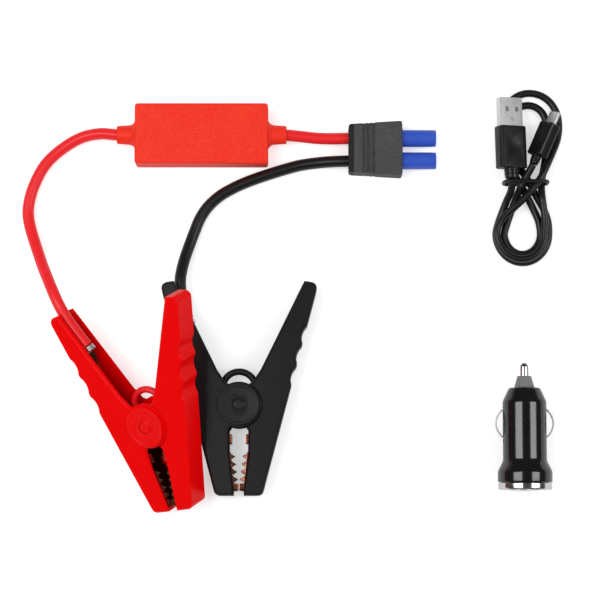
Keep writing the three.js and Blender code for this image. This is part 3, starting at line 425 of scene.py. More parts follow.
def rim(low, high, radius, steps=5, foot=None, flat=0.0):  # inset and height of each ring of a plate
    foot = radius if foot is None else foot
    hold = min(0.12, max(radius, foot) * 0.3)

    def bend(k):  # from a round edge, flat = 0, to a straight one, flat = 1
        a = math.pi / 2 * k / steps
        return ((1 - math.cos(a)) * (1 - flat) + flat * k / steps,
                (1 - math.sin(a)) * (1 - flat) + flat * (1 - k / steps))

    rings = []
    if foot:
        rings.append((foot + hold, low))
        rings += [(foot * bend(steps - k)[0], low + foot * bend(steps - k)[1]) for k in range(steps + 1)]
        rings.append((0.0, low + foot + hold))
    else:
        rings.append((0.0, low))
    if radius:
        rings.append((0.0, high - radius - hold))
        rings += [(radius * bend(k)[0], high - radius * bend(k)[1]) for k in range(steps + 1)]
        rings.append((radius + hold, high))
    else:
        rings.append((0.0, high))
    return rings


def plate(name, line, rings):
    points = []
    for amount, z in rings:
        points += [(p.x, p.y, z) for p in (inset(line, amount) if amount else line)]
    n = len(line)
    faces = [tuple(reversed(range(n)))]
    for r in range(len(rings) - 1):
        for i in range(n):
            j = (i + 1) % n
            faces.append((r * n + i, r * n + j, (r + 1) * n + j, (r + 1) * n + i))
    faces.append(tuple(range((len(rings) - 1) * n, len(rings) * n)))
    return meshObject(name, points, faces)


def block(name, x0, x1, y0, y1, z0, z1, radius=0.0, edge=0.0):
    return plate(name, roundedBox(x0, x1, y0, y1, radius, 4), rim(z0, z1, edge, 3))


def turned(name, profile, sides=64, steps=4):
    # profile: radius and height, from foot to top round the section; a third number rounds the corner
    if any(len(corner) > 2 for corner in profile):
        profile = [tuple(p) for p in rounded(profile, steps)]
    points, faces, rings = [], [], []
    for radius, y in profile:
        if abs(radius) < 1e-6:
            rings.append([len(points)] * sides)
            points.append((0.0, y, 0.0))
            continue
        rings.append(list(range(len(points), len(points) + sides)))
        for k in range(sides):
            a = 2 * math.pi * k / sides
            points.append((radius * math.cos(a), y, -radius * math.sin(a)))
    closed = abs(profile[0][0]) > 1e-6
    count = len(rings) if closed else len(rings) - 1
    for r in range(count):
        low, high = rings[r], rings[(r + 1) % len(rings)]
        for k in range(sides):
            j = (k + 1) % sides
            face = [low[k], low[j], high[j], high[k]]
            face = [v for i, v in enumerate(face) if v != face[i - 1]]
            if len(face) > 2:
                faces.append(tuple(face))
    return tidyMesh(meshObject(name, points, faces))


alongZ = Matrix.Rotation(math.pi / 2, 4, "X")
alongX = Matrix.Rotation(-math.pi / 2, 4, "Z")


def turnedTo(body, matrix):
    body.data.transform(matrix)
    return body


def moved(body, x, y, z, turn=Matrix.Identity(4)):
    return turnedTo(body, Matrix.Translation((x, y, z)) @ turn)


def cylinder(name, radius, low, high, sides=64):
    return turned(name, [(0, low), (radius, low), (radius, high), (0, high)], sides)


def post(name, radius, z0, z1, sides=64):
    return turnedTo(cylinder(name, radius, z0, z1, sides), alongZ)


def rod(name, radius, x0, x1, y, sides=64):
    return moved(cylinder(name, radius, x0, x1, sides), 0, y, 0, alongX)


def ball(name, radius, steps, sides):
    angles = [math.pi * k / steps for k in range(steps, -1, -1)]
    return turned(name, [(radius * math.sin(a), radius * math.cos(a)) for a in angles], sides)


# Smooth lines through points: centripetal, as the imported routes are
def smoothLine(points, pitch, closed=False):
    points = [Vector(p) for p in points]
    n = len(points)
    line = []
    spans = n if closed else n - 1
    for i in range(spans):
        p1, p2 = points[i], points[(i + 1) % n]
        p0 = points[i - 1] if closed or i else p1 * 2 - p2
        p3 = points[(i + 2) % n] if closed or i + 2 < n else p2 * 2 - p1
        t0 = 0.0
        t1 = t0 + max((p1 - p0).length, 1e-6) ** 0.5
        t2 = t1 + max((p2 - p1).length, 1e-6) ** 0.5
        t3 = t2 + max((p3 - p2).length, 1e-6) ** 0.5
        steps = max(2, round((p2 - p1).length / pitch))
        for k in range(steps):
            t = t1 + (t2 - t1) * k / steps
            a1 = p0 * ((t1 - t) / (t1 - t0)) + p1 * ((t - t0) / (t1 - t0))
            a2 = p1 * ((t2 - t) / (t2 - t1)) + p2 * ((t - t1) / (t2 - t1))
            a3 = p2 * ((t3 - t) / (t3 - t2)) + p3 * ((t - t2) / (t3 - t2))
            b1 = a1 * ((t2 - t) / (t2 - t0)) + a2 * ((t - t0) / (t2 - t0))
            b2 = a2 * ((t3 - t) / (t3 - t1)) + a3 * ((t - t1) / (t3 - t1))
            line.append(b1 * ((t2 - t) / (t2 - t1)) + b2 * ((t - t1) / (t2 - t1)))
    if not closed:
        line.append(points[-1])
    return line


def lineLength(line):
    return sum((b - a).length for a, b in zip(line, line[1:]))


# Geometry trees
def newTree(name, **sizes):  # sizes: the tree's own inputs and their first values
    tree = bpy.data.node_groups.new(name, "GeometryNodeTree")
    socket = tree.interface.new_socket
    socket("Geometry", in_out="INPUT", socket_type="NodeSocketGeometry")
    for label, value in sizes.items():
        kind = "NodeSocketInt" if isinstance(value, int) else "NodeSocketFloat"
        socket(label, in_out="INPUT", socket_type=kind).default_value = value
    socket("Material", in_out="INPUT", socket_type="NodeSocketMaterial")
    socket("Geometry", in_out="OUTPUT", socket_type="NodeSocketGeometry")
    entry = tree.nodes.new("NodeGroupInput")
    return {s.name: Wire(tree, s) for s in entry.outputs if s.name}


def endTree(geometry, material):
    real = geometry.node("GeometryNodeRealizeInstances", {"Geometry": geometry})
    last = real.node("GeometryNodeSetMaterial", {"Geometry": real, "Material": material})
    last.node("NodeGroupOutput", {"Geometry": last})
    return geometry.tree


def run(body, tree, finish, **values):
    modifier = body.modifiers.new("tree", "NODES")
    modifier.node_group = tree
    values["Material"] = finishes[finish].material
    for item in tree.interface.items_tree:
        if item.in_out == "INPUT" and item.name in values:
            modifier[item.identifier] = values[item.name]
    return baked(body)


def keep(geometry, value):  # remembers a value of the line's points
    made = geometry.tree.nodes.new("GeometryNodeCaptureAttribute")
    made.capture_items.new("FLOAT", "kept")
    geometry.tree.links.new(geometry.socket, made.inputs["Geometry"])
    geometry.tree.links.new(value.socket, made.inputs[1])
    return Wire(geometry.tree, made.outputs[0]), Wire(geometry.tree, made.outputs[1])


def store(geometry, name, value):
    inputs = {"Geometry": geometry, "Name": name, "Value": value}
    return geometry.node("GeometryNodeStoreNamedAttribute", inputs, data_type="FLOAT", domain="POINT")


def circleOf(wire, resolution, radius):
    return wire.node("GeometryNodeCurvePrimitiveCircle", {"Resolution": resolution, "Radius": radius})


def makeTubeTree():
    sizes = newTree("tube on a line", Diameter=5.5, Sides=24)
    g = sizes["Geometry"]
    line = g.node("GeometryNodeMeshToCurve", {"Mesh": g})
    ring = circleOf(g, sizes["Sides"], sizes["Diameter"] * 0.5)
    line, along = keep(line, g.node("GeometryNodeSplineParameter", None, 1))
    ring, around = keep(ring, g.node("GeometryNodeSplineParameter", None, 0))
    tube = g.node("GeometryNodeCurveToMesh", {"Curve": line, "Profile Curve": ring, "Fill Caps": True})
    return endTree(store(store(tube, "along", along), "around", around), sizes["Material"])


tubeTree = makeTubeTree()


def tubeOn(name, line, diameter, finish, place, ridesOn, sides=16, closed=False):
    edges = [(i, i + 1) for i in range(len(line) - 1)]
    if closed:
        edges.append((len(line) - 1, 0))
    body = run(meshObject(name, line, [], edges), tubeTree, finish, Diameter=diameter, Sides=sides)
    return seat(body, place, finish, ridesOn, 60.0)


# Cords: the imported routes, in layout millimetres
leads = {"diameter": 5.5, "sides": 32, "pitch": 1.2}
redClampRoute = [
    (-74.3, 78.3, 7), (-81, 78.3, 7), (-87.2, 78.4, 6.95), (-95.4, 79.2, 5.5), (-104.4, 77.6, 3.7),
    (-114.2, 71.9, 2.8), (-121.7, 64.6, 2.8), (-126.3, 56.1, 2.8), (-128.8, 48.5, 2.8),
    (-129.6, 41.5, 2.95), (-128.6, 35.2, 3.7), (-126.6, 28.8, 5.4), (-124.2, 22.2, 8.2),
    (-121.6, 15.4, 12), (-118.6, 8.6, 16.4), (-115.8, 2.4, 20), (-113, -3.6, 21.5),
    (-109.8, -9.4, 21.2), (-107.1, -13.4, 20.9), (-104.1, -17.4, 20.8), (-101.1, -21.3, 20.75),
    (-99.25, -23.55, 20.72),
]
redPlugRoute = [
    (36, 76.8, 6), (29, 76.8, 6), (22, 76.8, 6), (15, 76.7, 5.9), (8, 76.9, 6), (0, 77.7, 6.5),
    (-6.5, 78.2, 6.9), (-13, 78.3, 7), (-19.3, 78.3, 7),
]
blackPlugRoute = [
    (36, 66, 6), (29, 66, 6), (22, 65.9, 5.8), (16, 65.8, 5.1), (9.5, 65.5, 4), (0, 64.3, 3),
    (-7.2, 62.4, 2.8), (-14.3, 60.2, 2.8), (-20.5, 58.1, 2.8), (-26.3, 55.9, 2.8),
    (-32.5, 53, 2.8), (-38.2, 49.6, 2.8), (-43.7, 44.6, 2.8), (-47.6, 38.8, 2.8),
    (-50.2, 32.4, 2.95), (-52.4, 26.3, 3.7), (-54.4, 20.2, 5.1), (-55.9, 14.1, 6.8),
    (-56.6, 9.2, 8), (-56.4, 3.8, 8.4), (-55.3, -2.2, 8.5), (-54, -6.6, 8.5), (-53, -9.6, 8.5),
]


def makeLead(name, route, finish):
    line = smoothLine(route, leads["pitch"])
    body = tubeOn(name, line, leads["diameter"], finish, onTable, "lead_set", leads["sides"])
    lineLength(line) * 0.001
    [inMetres(p) for p in line[::3] + [line[-1]]]


makeLead("red_clamp_lead", redClampRoute, "red_silicone")
makeLead("red_plug_lead", redPlugRoute, "red_silicone")
makeLead("black_clamp_lead", blackPlugRoute, "black_silicone")
print("leads made")

# The charging cable: first loop, inner arc, second loop, outer arc, third loop, to the small plug
cable = {
    "diameter": 3.5, "sides": 24, "pitch": 0.8, "low": 1.8, "high": 5.85, "lane": 4.0,
    "lowerLobe": ((106.0, 31.5), (12.6, 13.85)), "innerArc": ((109.2, 84.2), (8.65, 9.3)),
}


def lobe(which, start, end, insetStart, insetEnd, z):
    (cx, cy), (halfX, halfY) = cable[which]
    points = []
    for i in range(10):
        t = i / 9
        a = math.radians(start + (end - start) * t)
        draw = insetStart + (insetEnd - insetStart) * t
        points.append((cx + (halfX - draw) * math.cos(a), cy + (halfY - draw) * math.sin(a), z))
    return points


cableRoute = [
    (100.5, 56.45, 10.1), (100.6, 54.2, 9.6), (100.1, 50.9, 7.3), (98.3, 46.6, 4.6),
    (96.3, 41.4, 2.7), (94.5, 36.4, 1.9),
    *lobe("lowerLobe", 180, 360, 0, 0, cable["low"]),
    (118.2, 37.6, 1.8), (116.2, 43.4, 1.9), (112.7, 49.6, 2.7), (108.8, 57, 3.5),
    (104.4, 64.5, 1.85), (101.5, 72, 1.8), (100.6, 78.5, 1.8),
    *lobe("innerArc", 180, 0, 0, 0, cable["low"]),
    (118, 79, 1.8), (117.9, 74, 1.8), (117.2, 67, 2.1), (116, 60.8, 3.2), (115.1, 55.4, 4.5),
    (115, 51.4, 5.7), (115.2, 48, 6.5), (115.7, 44.4, 6.4), (116.4, 38.1, 5.85),
    *lobe("lowerLobe", 0, -180, 2.4, 0.1, cable["high"]),
    (94.6, 35.6, 5.9), (97.6, 39.8, 6.2), (101.7, 43.4, 7), (106.4, 47.8, 7.7),
    (110.6, 52.4, 8.0), (114.4, 57.6, 8.2), (117.9, 64.6, 6.8), (121.1, 71.7, 4.2),
    (123.1, 77.0, 2.4), (123.9, 82.5, 1.8), (123.2, 89, 1.8), (120.4, 94.4, 1.8),
    (116.4, 97.8, 1.8), (111.9, 99.3, 1.8), (107.4, 99.2, 1.8), (103.2, 97.4, 1.8),
    (99.5, 93.8, 1.8), (97.2, 88.5, 1.8), (96.3, 82, 1.8), (96.6, 73.5, 1.8),
    (98.9, 65.5, 1.8), (103.3, 58.2, 2.9), (107.6, 50.6, 2.7), (111.2, 43.6, 1.8),
    (113.8, 37.4, 1.8),
    *lobe("lowerLobe", 0, -180, cable["lane"], cable["lane"], cable["low"]),
    (98.6, 36, 1.8), (100.1, 40.4, 2), (101.9, 45.4, 2.9), (103.6, 50, 5.1), (105.3, 53.8, 7.6),
    (107.2, 57.6, 8.2), (109.1, 60.8, 8.9), (110.66, 63.6, 9.4),
]
cableLine = smoothLine(cableRoute, cable["pitch"])
cableBody = tubeOn("charging_cable", cableLine, cable["diameter"], "cable_black", onTable,
                   "charging_cable_set", cable["sides"])

# The thin cord tied round the crossing of the hank
tie = {
    "diameter": 1.7, "width": 20.7, "height": 12.6, "corner": 4.5, "middle": (107.3, 55.3),
    "lift": 0.1, "pitch": 0.5,
}


def makeTie():
    w, h = tie["width"] / 2, tie["height"] / 2
    lift = h + tie["diameter"] / 2 + tie["lift"]
    ring = roundedBox(-w, w, -h, h, tie["corner"], 3)
    x, y = tie["middle"]
    line = smoothLine([(x + p.x, y, p.y + lift) for p in ring], tie["pitch"], closed=True)
    tubeOn("cable_tie", line, tie["diameter"], "cable_black", onTable, "charging_cable_set",
           closed=True)


makeTie()

# Plugs of the charging cable, drawn along Y from the grip's cable side.
# Window: width, length, distance from the middle and from the grip.
widePlug = {
    "place": (100.45, 61.65, 10.1), "roll": 26.0, "turn": 1.7,
    "grip": (14.2, 20.3, 7.4), "shell": (12.0, 13.6, 4.5), "sheet": 0.4,
    "relief": (7.2, 4.8), "window": (1.8, 2.16, 2.6, 6.9), "dimple": (1.3, 3.2, 1.05),
}
smallPlug = {
    "place": (112.53, 67.91, 9.4), "roll": -56.0, "turn": -23.5,
    "grip": (10.0, 16.7, 6.6), "shell": (6.85, 6.1, 1.9), "sheet": 0.3,
    "relief": (4.7, 4.4), "window": None,
}
thumb = {"radius": 28.0, "middle": 0.52, "lift": 27.72}
ribs = {"Rings": 3, "Wire": 0.62, "sink": 0.27, "pitch": 0.27}


def makeReliefTree():  # small ribs on rings round a sleeve
    sizes = newTree("ribs round a sleeve", Radius=3.0, Rings=3, Pitch=1.2, Wire=0.5)
    g = sizes["Geometry"]
    step = g.node("ShaderNodeCombineXYZ", {1: sizes["Pitch"] * -1.0})
    rings = g.node("GeometryNodeMeshLine", {"Count": sizes["Rings"], "Offset": step})
    rib = g.node("GeometryNodeCurveToMesh", {
        "Curve": circleOf(g, 40, sizes["Radius"]),
        "Profile Curve": circleOf(g, 10, sizes["Wire"] * 0.5),
    })
    turn = g.node("GeometryNodeTransform", {"Geometry": rib, "Rotation": Euler((math.pi / 2, 0.0, 0.0))})
    rows = g.node("GeometryNodeInstanceOnPoints", {"Points": rings, "Instance": turn})
    return endTree(rows.merged(g), sizes["Material"])


reliefTree = makeReliefTree()


def makeCablePlug(name, plug):
    width, length, height = plug["grip"]
    shellWidth, shellLength, shellHeight = plug["shell"]
    end = length + shellLength
    place = (
        Matrix.Translation((shift + Vector(plug["place"])) * 0.001)
        @ Matrix.Rotation(math.radians(plug["turn"]), 4, "Z")
        @ Matrix.Rotation(math.radians(plug["roll"]), 4, "Y") @ mm
    )
    upright = Matrix.Rotation(-math.pi / 2, 4, "X") @ Matrix.Scale(-1, 4, (0, 1, 0))

    def slab(label, w, h, y0, y1, radius, edge=0.0):
        line = roundedBox(-w / 2, w / 2, -h / 2, h / 2, radius, 6)
        return tidyMesh(turnedTo(plate(label, line, rim(y0, y1, edge, 4)), upright))

    grip = slab(name + "_grip", width, height, 0.0, length, 1.9, 0.7)
    radius, reach = plug["relief"][0] / 2, plug["relief"][1]
    sleeve = turned("sleeve", [
        (0.0, -reach), (radius - 0.35, -reach, 0.5), (radius - 0.1, -reach * 0.4),
        (radius, -0.7), (radius, 1.0), (0.0, 1.0),
    ], 48)
    socket = slab("socket", shellWidth + 0.5, shellHeight + 0.5, length - 3.2, length + 1.0, 0.7)
    thumbs = [moved(ball("hollow", thumb["radius"], 48, 64),
                    0, length * thumb["middle"], side * (height / 2 + thumb["lift"]))
              for side in (-1, 1)]  # shallow hollows in both faces
    carve(grip, ("UNION", sleeve), ("DIFFERENCE", socket), ("DIFFERENCE", *thumbs))
    run(grip, reliefTree, "grip_black", Radius=radius - ribs["sink"], Rings=ribs["Rings"],
        Pitch=reach * ribs["pitch"], Wire=ribs["Wire"])
    seat(grip, place, "grip_black", "charging_cable_set")

    shell = slab(name + "_shell", shellWidth, shellHeight, length - 3.0, end, 0.75)
    inner = [size - 2 * plug["sheet"] for size in (shellWidth, shellHeight)]
    carve(shell, ("DIFFERENCE", slab("bore", *inner, length - 2.0, end + 1.0, 0.45)))
    if plug["window"]:
        w, l, x, y = plug["window"]
        holes = [block("hole", side * x - w / 2, side * x + w / 2, length + y, length + y + l, 0.5, 4.0, 0.2)
                 for side in (-1, 1)]
        radius, reach, lift = plug["dimple"]
        dimple = moved(ball("dimple", radius, 16, 32), 0, length + reach, shellHeight / 2 + lift)
        carve(shell, ("DIFFERENCE", *holes, dimple))
    bevelled(shell, 0.1, 50)
    return [grip, seat(shell, place, "brushed_steel", "charging_cable_set", 12.0)]


makeCablePlug("wide_plug", widePlug)
smallPieces = makeCablePlug("small_plug", smallPlug)
lineLength(cableLine) * 0.001
[inMetres(p) for p in cableLine[::2] + [cableLine[-1]]]
print("charging cable made, mm", round(lineLength(cableLine)))

# Clamps: drawn with the pivot at the origin and the nose towards -Y
clamp = {
    "half": 7.0, "wall": 1.6, "spine": 2.6, "rim": 1.1, "noseReach": 42.4, "noseWidth": 11.0,
    "handleReach": 58.3, "handleSpread": 37.6, "grooves": (13.4, 23.4, 33.0),
    "grooveRadius": 7.4, "grooveDepth": 1.25, "grooveEdge": 0.65, "outerEar": 10.8, "innerEar": 10.0,
    "handleEnd": 30.7, "play": 0.4, "step": 1.4, "stepReach": 2.0, "through": 9.0, "flex": 6.0,
    "wayPlay": 1.3, "wayWidth": 6.6, "wayDepth": 6.0, "wayDraw": 0.78,
}
wallInside = clamp["half"] - clamp["wall"]
edgeSlope = (clamp["handleSpread"] - clamp["noseWidth"]) / (clamp["handleReach"] + clamp["noseReach"])
edgeAngle = math.atan(edgeSlope)


def edgeX(y, draw=0.0):  # the grip's straight back edge
    return clamp["noseWidth"] + (y + clamp["noseReach"]) * edgeSlope - draw / math.cos(edgeAngle)


def fingerGroove(y, steps=14):
    radius, depth = clamp["grooveRadius"], clamp["grooveDepth"]
    along = Vector((math.sin(edgeAngle), math.cos(edgeAngle)))
    out = Vector((math.cos(edgeAngle), -math.sin(edgeAngle)))
    reach = math.acos((radius - depth) / radius)
    centre = Vector((edgeX(y), y)) + out * (radius - depth)
    turns = [reach * (2 * i / steps - 1) for i in range(steps + 1)]
    arc = [tuple(centre + along * radius * math.sin(a) - out * radius * math.cos(a)) for a in turns]
    edge = clamp["grooveEdge"]
    return [(*arc[0], edge), *arc[2:-2], (*arc[-1], edge)]


def gripOutline(side):
    reach, nose = clamp["handleReach"], clamp["noseReach"]
    grooves = [p for y in clamp["grooves"] for p in fingerGroove(y)]
    return sided(rounded([
        (2.4, -nose), (clamp["noseWidth"], -nose, 2.4), *grooves,
        (edgeX(reach - 0.9), reach - 0.9, 4.0), (clamp["handleEnd"], reach), (10.2, 16.4), (6.4, 10.7),
        (2.6, 8.7), (2.6, -9.3), (4.5, -12.1), (4.4, -22.0), (2.5, 3.8 - nose),
    ]), side)


def pocketOutline(side):
    top = clamp["handleReach"] - clamp["wall"]
    foot = clamp["wall"] - clamp["noseReach"]
    return sided(rounded([
        (-3, foot), (edgeX(foot, 2.6), foot, 1.0), (edgeX(top - 4.4, 2.6), top - 4.4),
        (edgeX(top - 2, 4.6), top - 2), (31.7, top - 0.4), (24.7, top), (-3, 12),
    ]), side)


def gripShell(name, side):
    half = clamp["half"]
    body = plate(name, gripOutline(side), rim(-half, half, clamp["rim"], 5, flat=0.7))
    pocket = plate("pocket", pocketOutline(side), rim(-wallInside, wallInside, 0.0))
    return carve(body, ("DIFFERENCE", pocket))


def ear(radius, low, high, round=0.45):
    outer, inner = (high, low) if abs(high) > abs(low) else (low, high)
    sign = 1 if outer > 0 else -1
    profile = [(0.0, inner), (radius, inner), (radius, outer - sign * 0.001, round), (0.0, outer)]
    return turnedTo(turned("ear", profile, 96), alongZ)


slip = 0.015  # keeps joined faces out of one plane


def leftGrip(name):
    half, reach, through = clamp["half"], clamp["handleReach"], clamp["through"]
    way = leads["diameter"] / 2 + clamp["wayPlay"]
    wayIn = block("wayIn", -edgeX(reach, clamp["wayDraw"]), clamp["wayWidth"] - clamp["handleEnd"],
                  reach - clamp["wayDepth"], reach + 1.0, -way, way)
    return carve(
        gripShell(name, -1),
        ("UNION", ear(clamp["outerEar"], wallInside + slip, half - slip),
         ear(clamp["outerEar"], -wallInside - slip, slip - half)),
        ("DIFFERENCE", post("hole", pivot["bore"], -through, through), wayIn),
    )


def rightGrip(name):
    half, through = clamp["half"], clamp["through"]
    clear = clamp["outerEar"] + clamp["play"]
    top = wallInside - clamp["play"]
    foot = top - clamp["step"]
    body = carve(gripShell(name, 1), ("DIFFERENCE", post("clear", clear, -through, through, 128)))
    for side in (1, -1):
        low, high = sorted((side * foot, side * (half - clamp["rim"])))
        rimPiece = plate("step", inset(gripOutline(1), 2 * slip), rim(low, high, 0.0))
        carve(rimPiece, ("INTERSECT", post("round", clear + clamp["stepReach"], low - 1, high + 1, 128)))
        earLow, earHigh = sorted((side * (foot + slip), side * (top + 0.3)))
        carve(rimPiece, ("UNION", post("innerEar", clamp["innerEar"], earLow, earHigh, 128)))
        cutLow, cutHigh = sorted((side * top, side * through))
        carve(rimPiece, ("DIFFERENCE", post("clear", clear + slip, cutLow, cutHigh, 128)))
        carve(body, ("UNION", rimPiece))
    return carve(body, ("DIFFERENCE", post("hole", pivot["bore"], -through, through)))


pivot = {
    "cap": 19.5, "seat": 7.03, "top": 8.5, "pin": 4.4, "head": 5.8, "sink": 0.5, "bore": 2.5,
    "play": 0.3, "fieldDrop": 0.22, "ringDepth": 0.2, "wellDepth": 0.8,
}


def pivotCap(name, sign):  # a disc with a raised rim, a shallow field and a cut ring round the pin's head
    r, low, top, bore = pivot["cap"] / 2, pivot["seat"], pivot["top"], pivot["bore"]
    well, field = pivot["head"] / 2 + pivot["play"], top - pivot["fieldDrop"]
    ring, foot = field - pivot["ringDepth"], top - pivot["wellDepth"]
    body = turned(name, [
        (bore, low), (r, low, 0.2), (r, top, 0.5), (r - 1.25, top, 0.3), (r - 1.5, field, 0.2),
        (well + 1.9, field, 0.2), (well + 1.7, ring, 0.12), (well + 0.9, ring, 0.12),
        (well + 0.7, top - 0.05, 0.3), (well, top - 0.05, 0.2), (well, foot), (bore, foot),
    ], 112)
    bar = block("bar", -0.8, 0.8, well + 0.3, well + 2.3, field - 0.6, field - 0.02, 0.2)
    seam = block("seam", -0.11, 0.11, -r - 1, -well - 2.4, field - 0.12, top + 1)
    carve(turnedTo(body, alongZ), ("UNION", bar), ("DIFFERENCE", seam))
    return turnedTo(body, Matrix.Rotation(math.pi, 4, "X")) if sign < 0 else body


def pivotPin(name):
    shank, head = pivot["pin"] / 2, pivot["head"] / 2
    top, sink = pivot["top"], pivot["sink"]
    foot = top - sink
    return turnedTo(turned(name, [
        (0.0, -top), (head - 0.9, -top, 0.3), (head, -foot - 0.12, 0.15), (head, -foot), (shank, -foot),
        (shank, foot), (head, foot), (head, foot + 0.12, 0.15), (head - 0.9, top, 0.3), (0.0, top),
    ], 64), alongZ)


jawSizes = {
    "sheet": 0.8, "foot": -40.5, "bar": -40.0, "top": -13.7, "teeth": 4, "firstY": -24.0,
    "firstGap": 1.9, "lastGap": 0.5, "depth": 2.0, "pitch": 3.6, "throat": 3.2,
    "tabFoot": -18.2, "notch": 5.4, "tipRise": 3.2, "tipGap": 0.25, "play": 0.3, "wear": 0.94,
    "tailEnd": (-22.8, 37.5), "tailRise": (-1.3, 3.3), "stubEnd": -4, "stubRise": (-2.3, 2.3),
}


def makeToothTree():  # teeth on a leaning line, one row on each flange
    sizes = newTree("row of teeth", Count=4, Pitch=3.6, Lean=0.15, Flange=4.7, Seed=4)
    g = sizes["Geometry"]
    step = g.node("ShaderNodeCombineXYZ", {
        0: sizes["Pitch"] * sizes["Lean"] * -1.0, 1: sizes["Pitch"] * -1.0,
    })
    rows = []
    for side in (1.0, -1.0):
        lift = g.node("ShaderNodeCombineXYZ", {2: sizes["Flange"] * side})
        line = g.node("GeometryNodeMeshLine", {
            "Count": sizes["Count"], "Start Location": lift, "Offset": step,
        })
        wear = g.node("FunctionNodeRandomValue", {
            "Min": jawSizes["wear"], "Max": 1.0, "Seed": sizes["Seed"],
        }, 1, data_type="FLOAT")
        size = g.node("ShaderNodeCombineXYZ", {0: wear, 1: wear, 2: side})
        rows.append(g.node("GeometryNodeInstanceOnPoints", {"Points": line, "Instance": g, "Scale": size}))
    return endTree(rows[0].merged(rows[1]), sizes["Material"])


toothTree = makeToothTree()


def joined(name, *parts):
    work = bmesh.new()
    for part in parts:
        work.from_mesh(part.data)
        bpy.data.objects.remove(part)
    made = meshObject(name, [], [])
    work.to_mesh(made.data)
    work.free()
    return made


def ribbon(name, points, thickness, low, high, edge=0.12):  # a strip standing along a flat line
    line = [Vector(p) for p in points]
    sides = ([], [])
    for i, p in enumerate(line):
        along = (line[min(i + 1, len(line) - 1)] - line[max(i - 1, 0)]).normalized()
        across = Vector((-along.y, along.x)) * thickness / 2
        sides[0].append(p - across)
        sides[1].append(p + across)
    return plate(name, sides[0] + sides[1][::-1], rim(low, high, edge, 2))


def makeTooth(side):  # its tip is bent towards the other flange, so that a facet catches the light
    sheet, root, high = jawSizes["sheet"], jawSizes["depth"] + 0.5, jawSizes["pitch"] * 0.5
    outer, inner = sheet / 2, -sheet / 2 - 0.5
    pairs = [(root, high, outer), (0.5, 0.25, outer - 0.1), (0.0, 0.18, outer - 0.55), (0.5, 0.2, inner),
             (root, high, -sheet / 2)]
    points = [(x, y * way, z) for x, y, z in pairs for way in (1, -1)]
    bands = [(i, i + 2, i + 3, i + 1) for i in range(0, 8, 2)]
    tooth = tidyMesh(meshObject("tooth", points, [*bands, (0, 1, 9, 8), (0, 8, 6, 4, 2), (1, 3, 5, 7, 9)]))
    return turnedTo(tooth, Matrix.Scale(-1, 4, (1, 0, 0)) if side < 0 else Matrix.Identity(4))


def makeJaw(name, side):
    s = jawSizes
    sheet, foot, top, bar = s["sheet"], s["foot"], s["top"], s["bar"]
    back, width = clamp["spine"] + s["play"], wallInside - s["play"]
    reach = s["pitch"] * (s["teeth"] - 1)
    lean = (s["firstGap"] - s["lastGap"]) / reach
    above, below = s["firstY"] + s["pitch"] / 2, s["firstY"] - reach - s["pitch"] / 2
    flange = rounded([
        (3.0, foot, 0.4), (edgeX(foot, back), foot, 0.6), (edgeX(top, back), top, 0.6),
        (s["throat"], top, 0.5), (s["throat"], s["tabFoot"], 0.4), (s["notch"], s["tabFoot"]),
        (s["notch"], above + 0.3), (s["firstGap"] + s["depth"] - 0.1, above),
        (s["lastGap"] + s["depth"] - 0.1, below), (s["tipGap"], bar + s["tipRise"]), (s["tipGap"], bar),
    ], 4)
    parts = [plate("flange", sided(flange, side), rim(low, low + sheet, 0.14, 2))
             for low in (width - sheet, -width)]
    row = run(makeTooth(side), toothTree, "copper", Count=s["teeth"], Pitch=s["pitch"], Lean=lean * side,
              Flange=width - sheet / 2, Seed=4 if side > 0 else 9)
    parts.append(tidyMesh(moved(row, side * s["firstGap"], s["firstY"], 0)))
    for label, edge, corners in (
        ("spine", 0.0, [(edgeX(foot, back), foot), (edgeX(top, back), top),
                        (edgeX(top, back + sheet), top), (edgeX(foot, back + sheet), foot)]),
        ("bar", 0.15, [(s["tipGap"], bar), (s["throat"] + 0.2, bar),
                       (s["throat"] + 0.2, bar + sheet), (s["tipGap"], bar + sheet)]),
    ):
        line = sided([Vector(p) for p in corners], side)
        parts.append(plate(label, line, rim(-width, width, edge, 2)))
    start = (side * edgeX(top - 2, back + sheet / 2), top - 2)
    end, rise = s["tailEnd"], s["tailRise"]
    if side > 0:
        end, rise = (edgeX(s["stubEnd"], back + 2 * sheet), s["stubEnd"]), s["stubRise"]
    return joined(name, *parts, ribbon("tail", [start, end], sheet, *rise))


spring = {"wire": 1.5, "radius": 5.2, "turns": 2.5, "height": 5.2, "leg": 27.0, "angle": 41.0}


def springLine():
    start = math.radians(180 + spring["angle"])
    sweep = 2 * math.pi * spring["turns"] + math.radians(180 - 2 * spring["angle"]) - math.pi
    steps = round(spring["turns"] * 24)
    r = spring["radius"]

    def turn(a, z):
        return Vector((r * math.cos(a), r * math.sin(a), z))

    def leg(a, sign, z, reach):
        return turn(a, z) + Vector((math.sin(a), -math.cos(a), 0)) * sign * reach

    h = spring["height"]
    line = [leg(start, 1, -h / 2, spring["leg"] * k / 12) for k in range(12, 0, -1)]
    line += [turn(start + sweep * i / steps, h * (i / steps - 0.5)) for i in range(steps + 1)]
    line += [leg(start + sweep, -1, h / 2, spring["leg"] * k / 12) for k in range(1, 13)]
    return line


bridge = {
    "diameter": 3.2, "radius": 7.8, "middle": 8.1,
    "foot": ((13.2, -10.5), (12.6, -6.5), (10.7, -1.5), (9.1, 3.4)),
}


def bridgeLine():
    r, middle = bridge["radius"], bridge["middle"]
    turns = [math.pi * k / 6 for k in range(7)]
    arch = [(r * math.cos(a), middle + r * math.sin(a), 0.0) for a in turns]
    right = [(x, y, 0.0) for x, y in bridge["foot"]]
    left = [(-x, y, 0.0) for x, y in reversed(bridge["foot"])]
    return smoothLine(right + arch + left, 0.6)


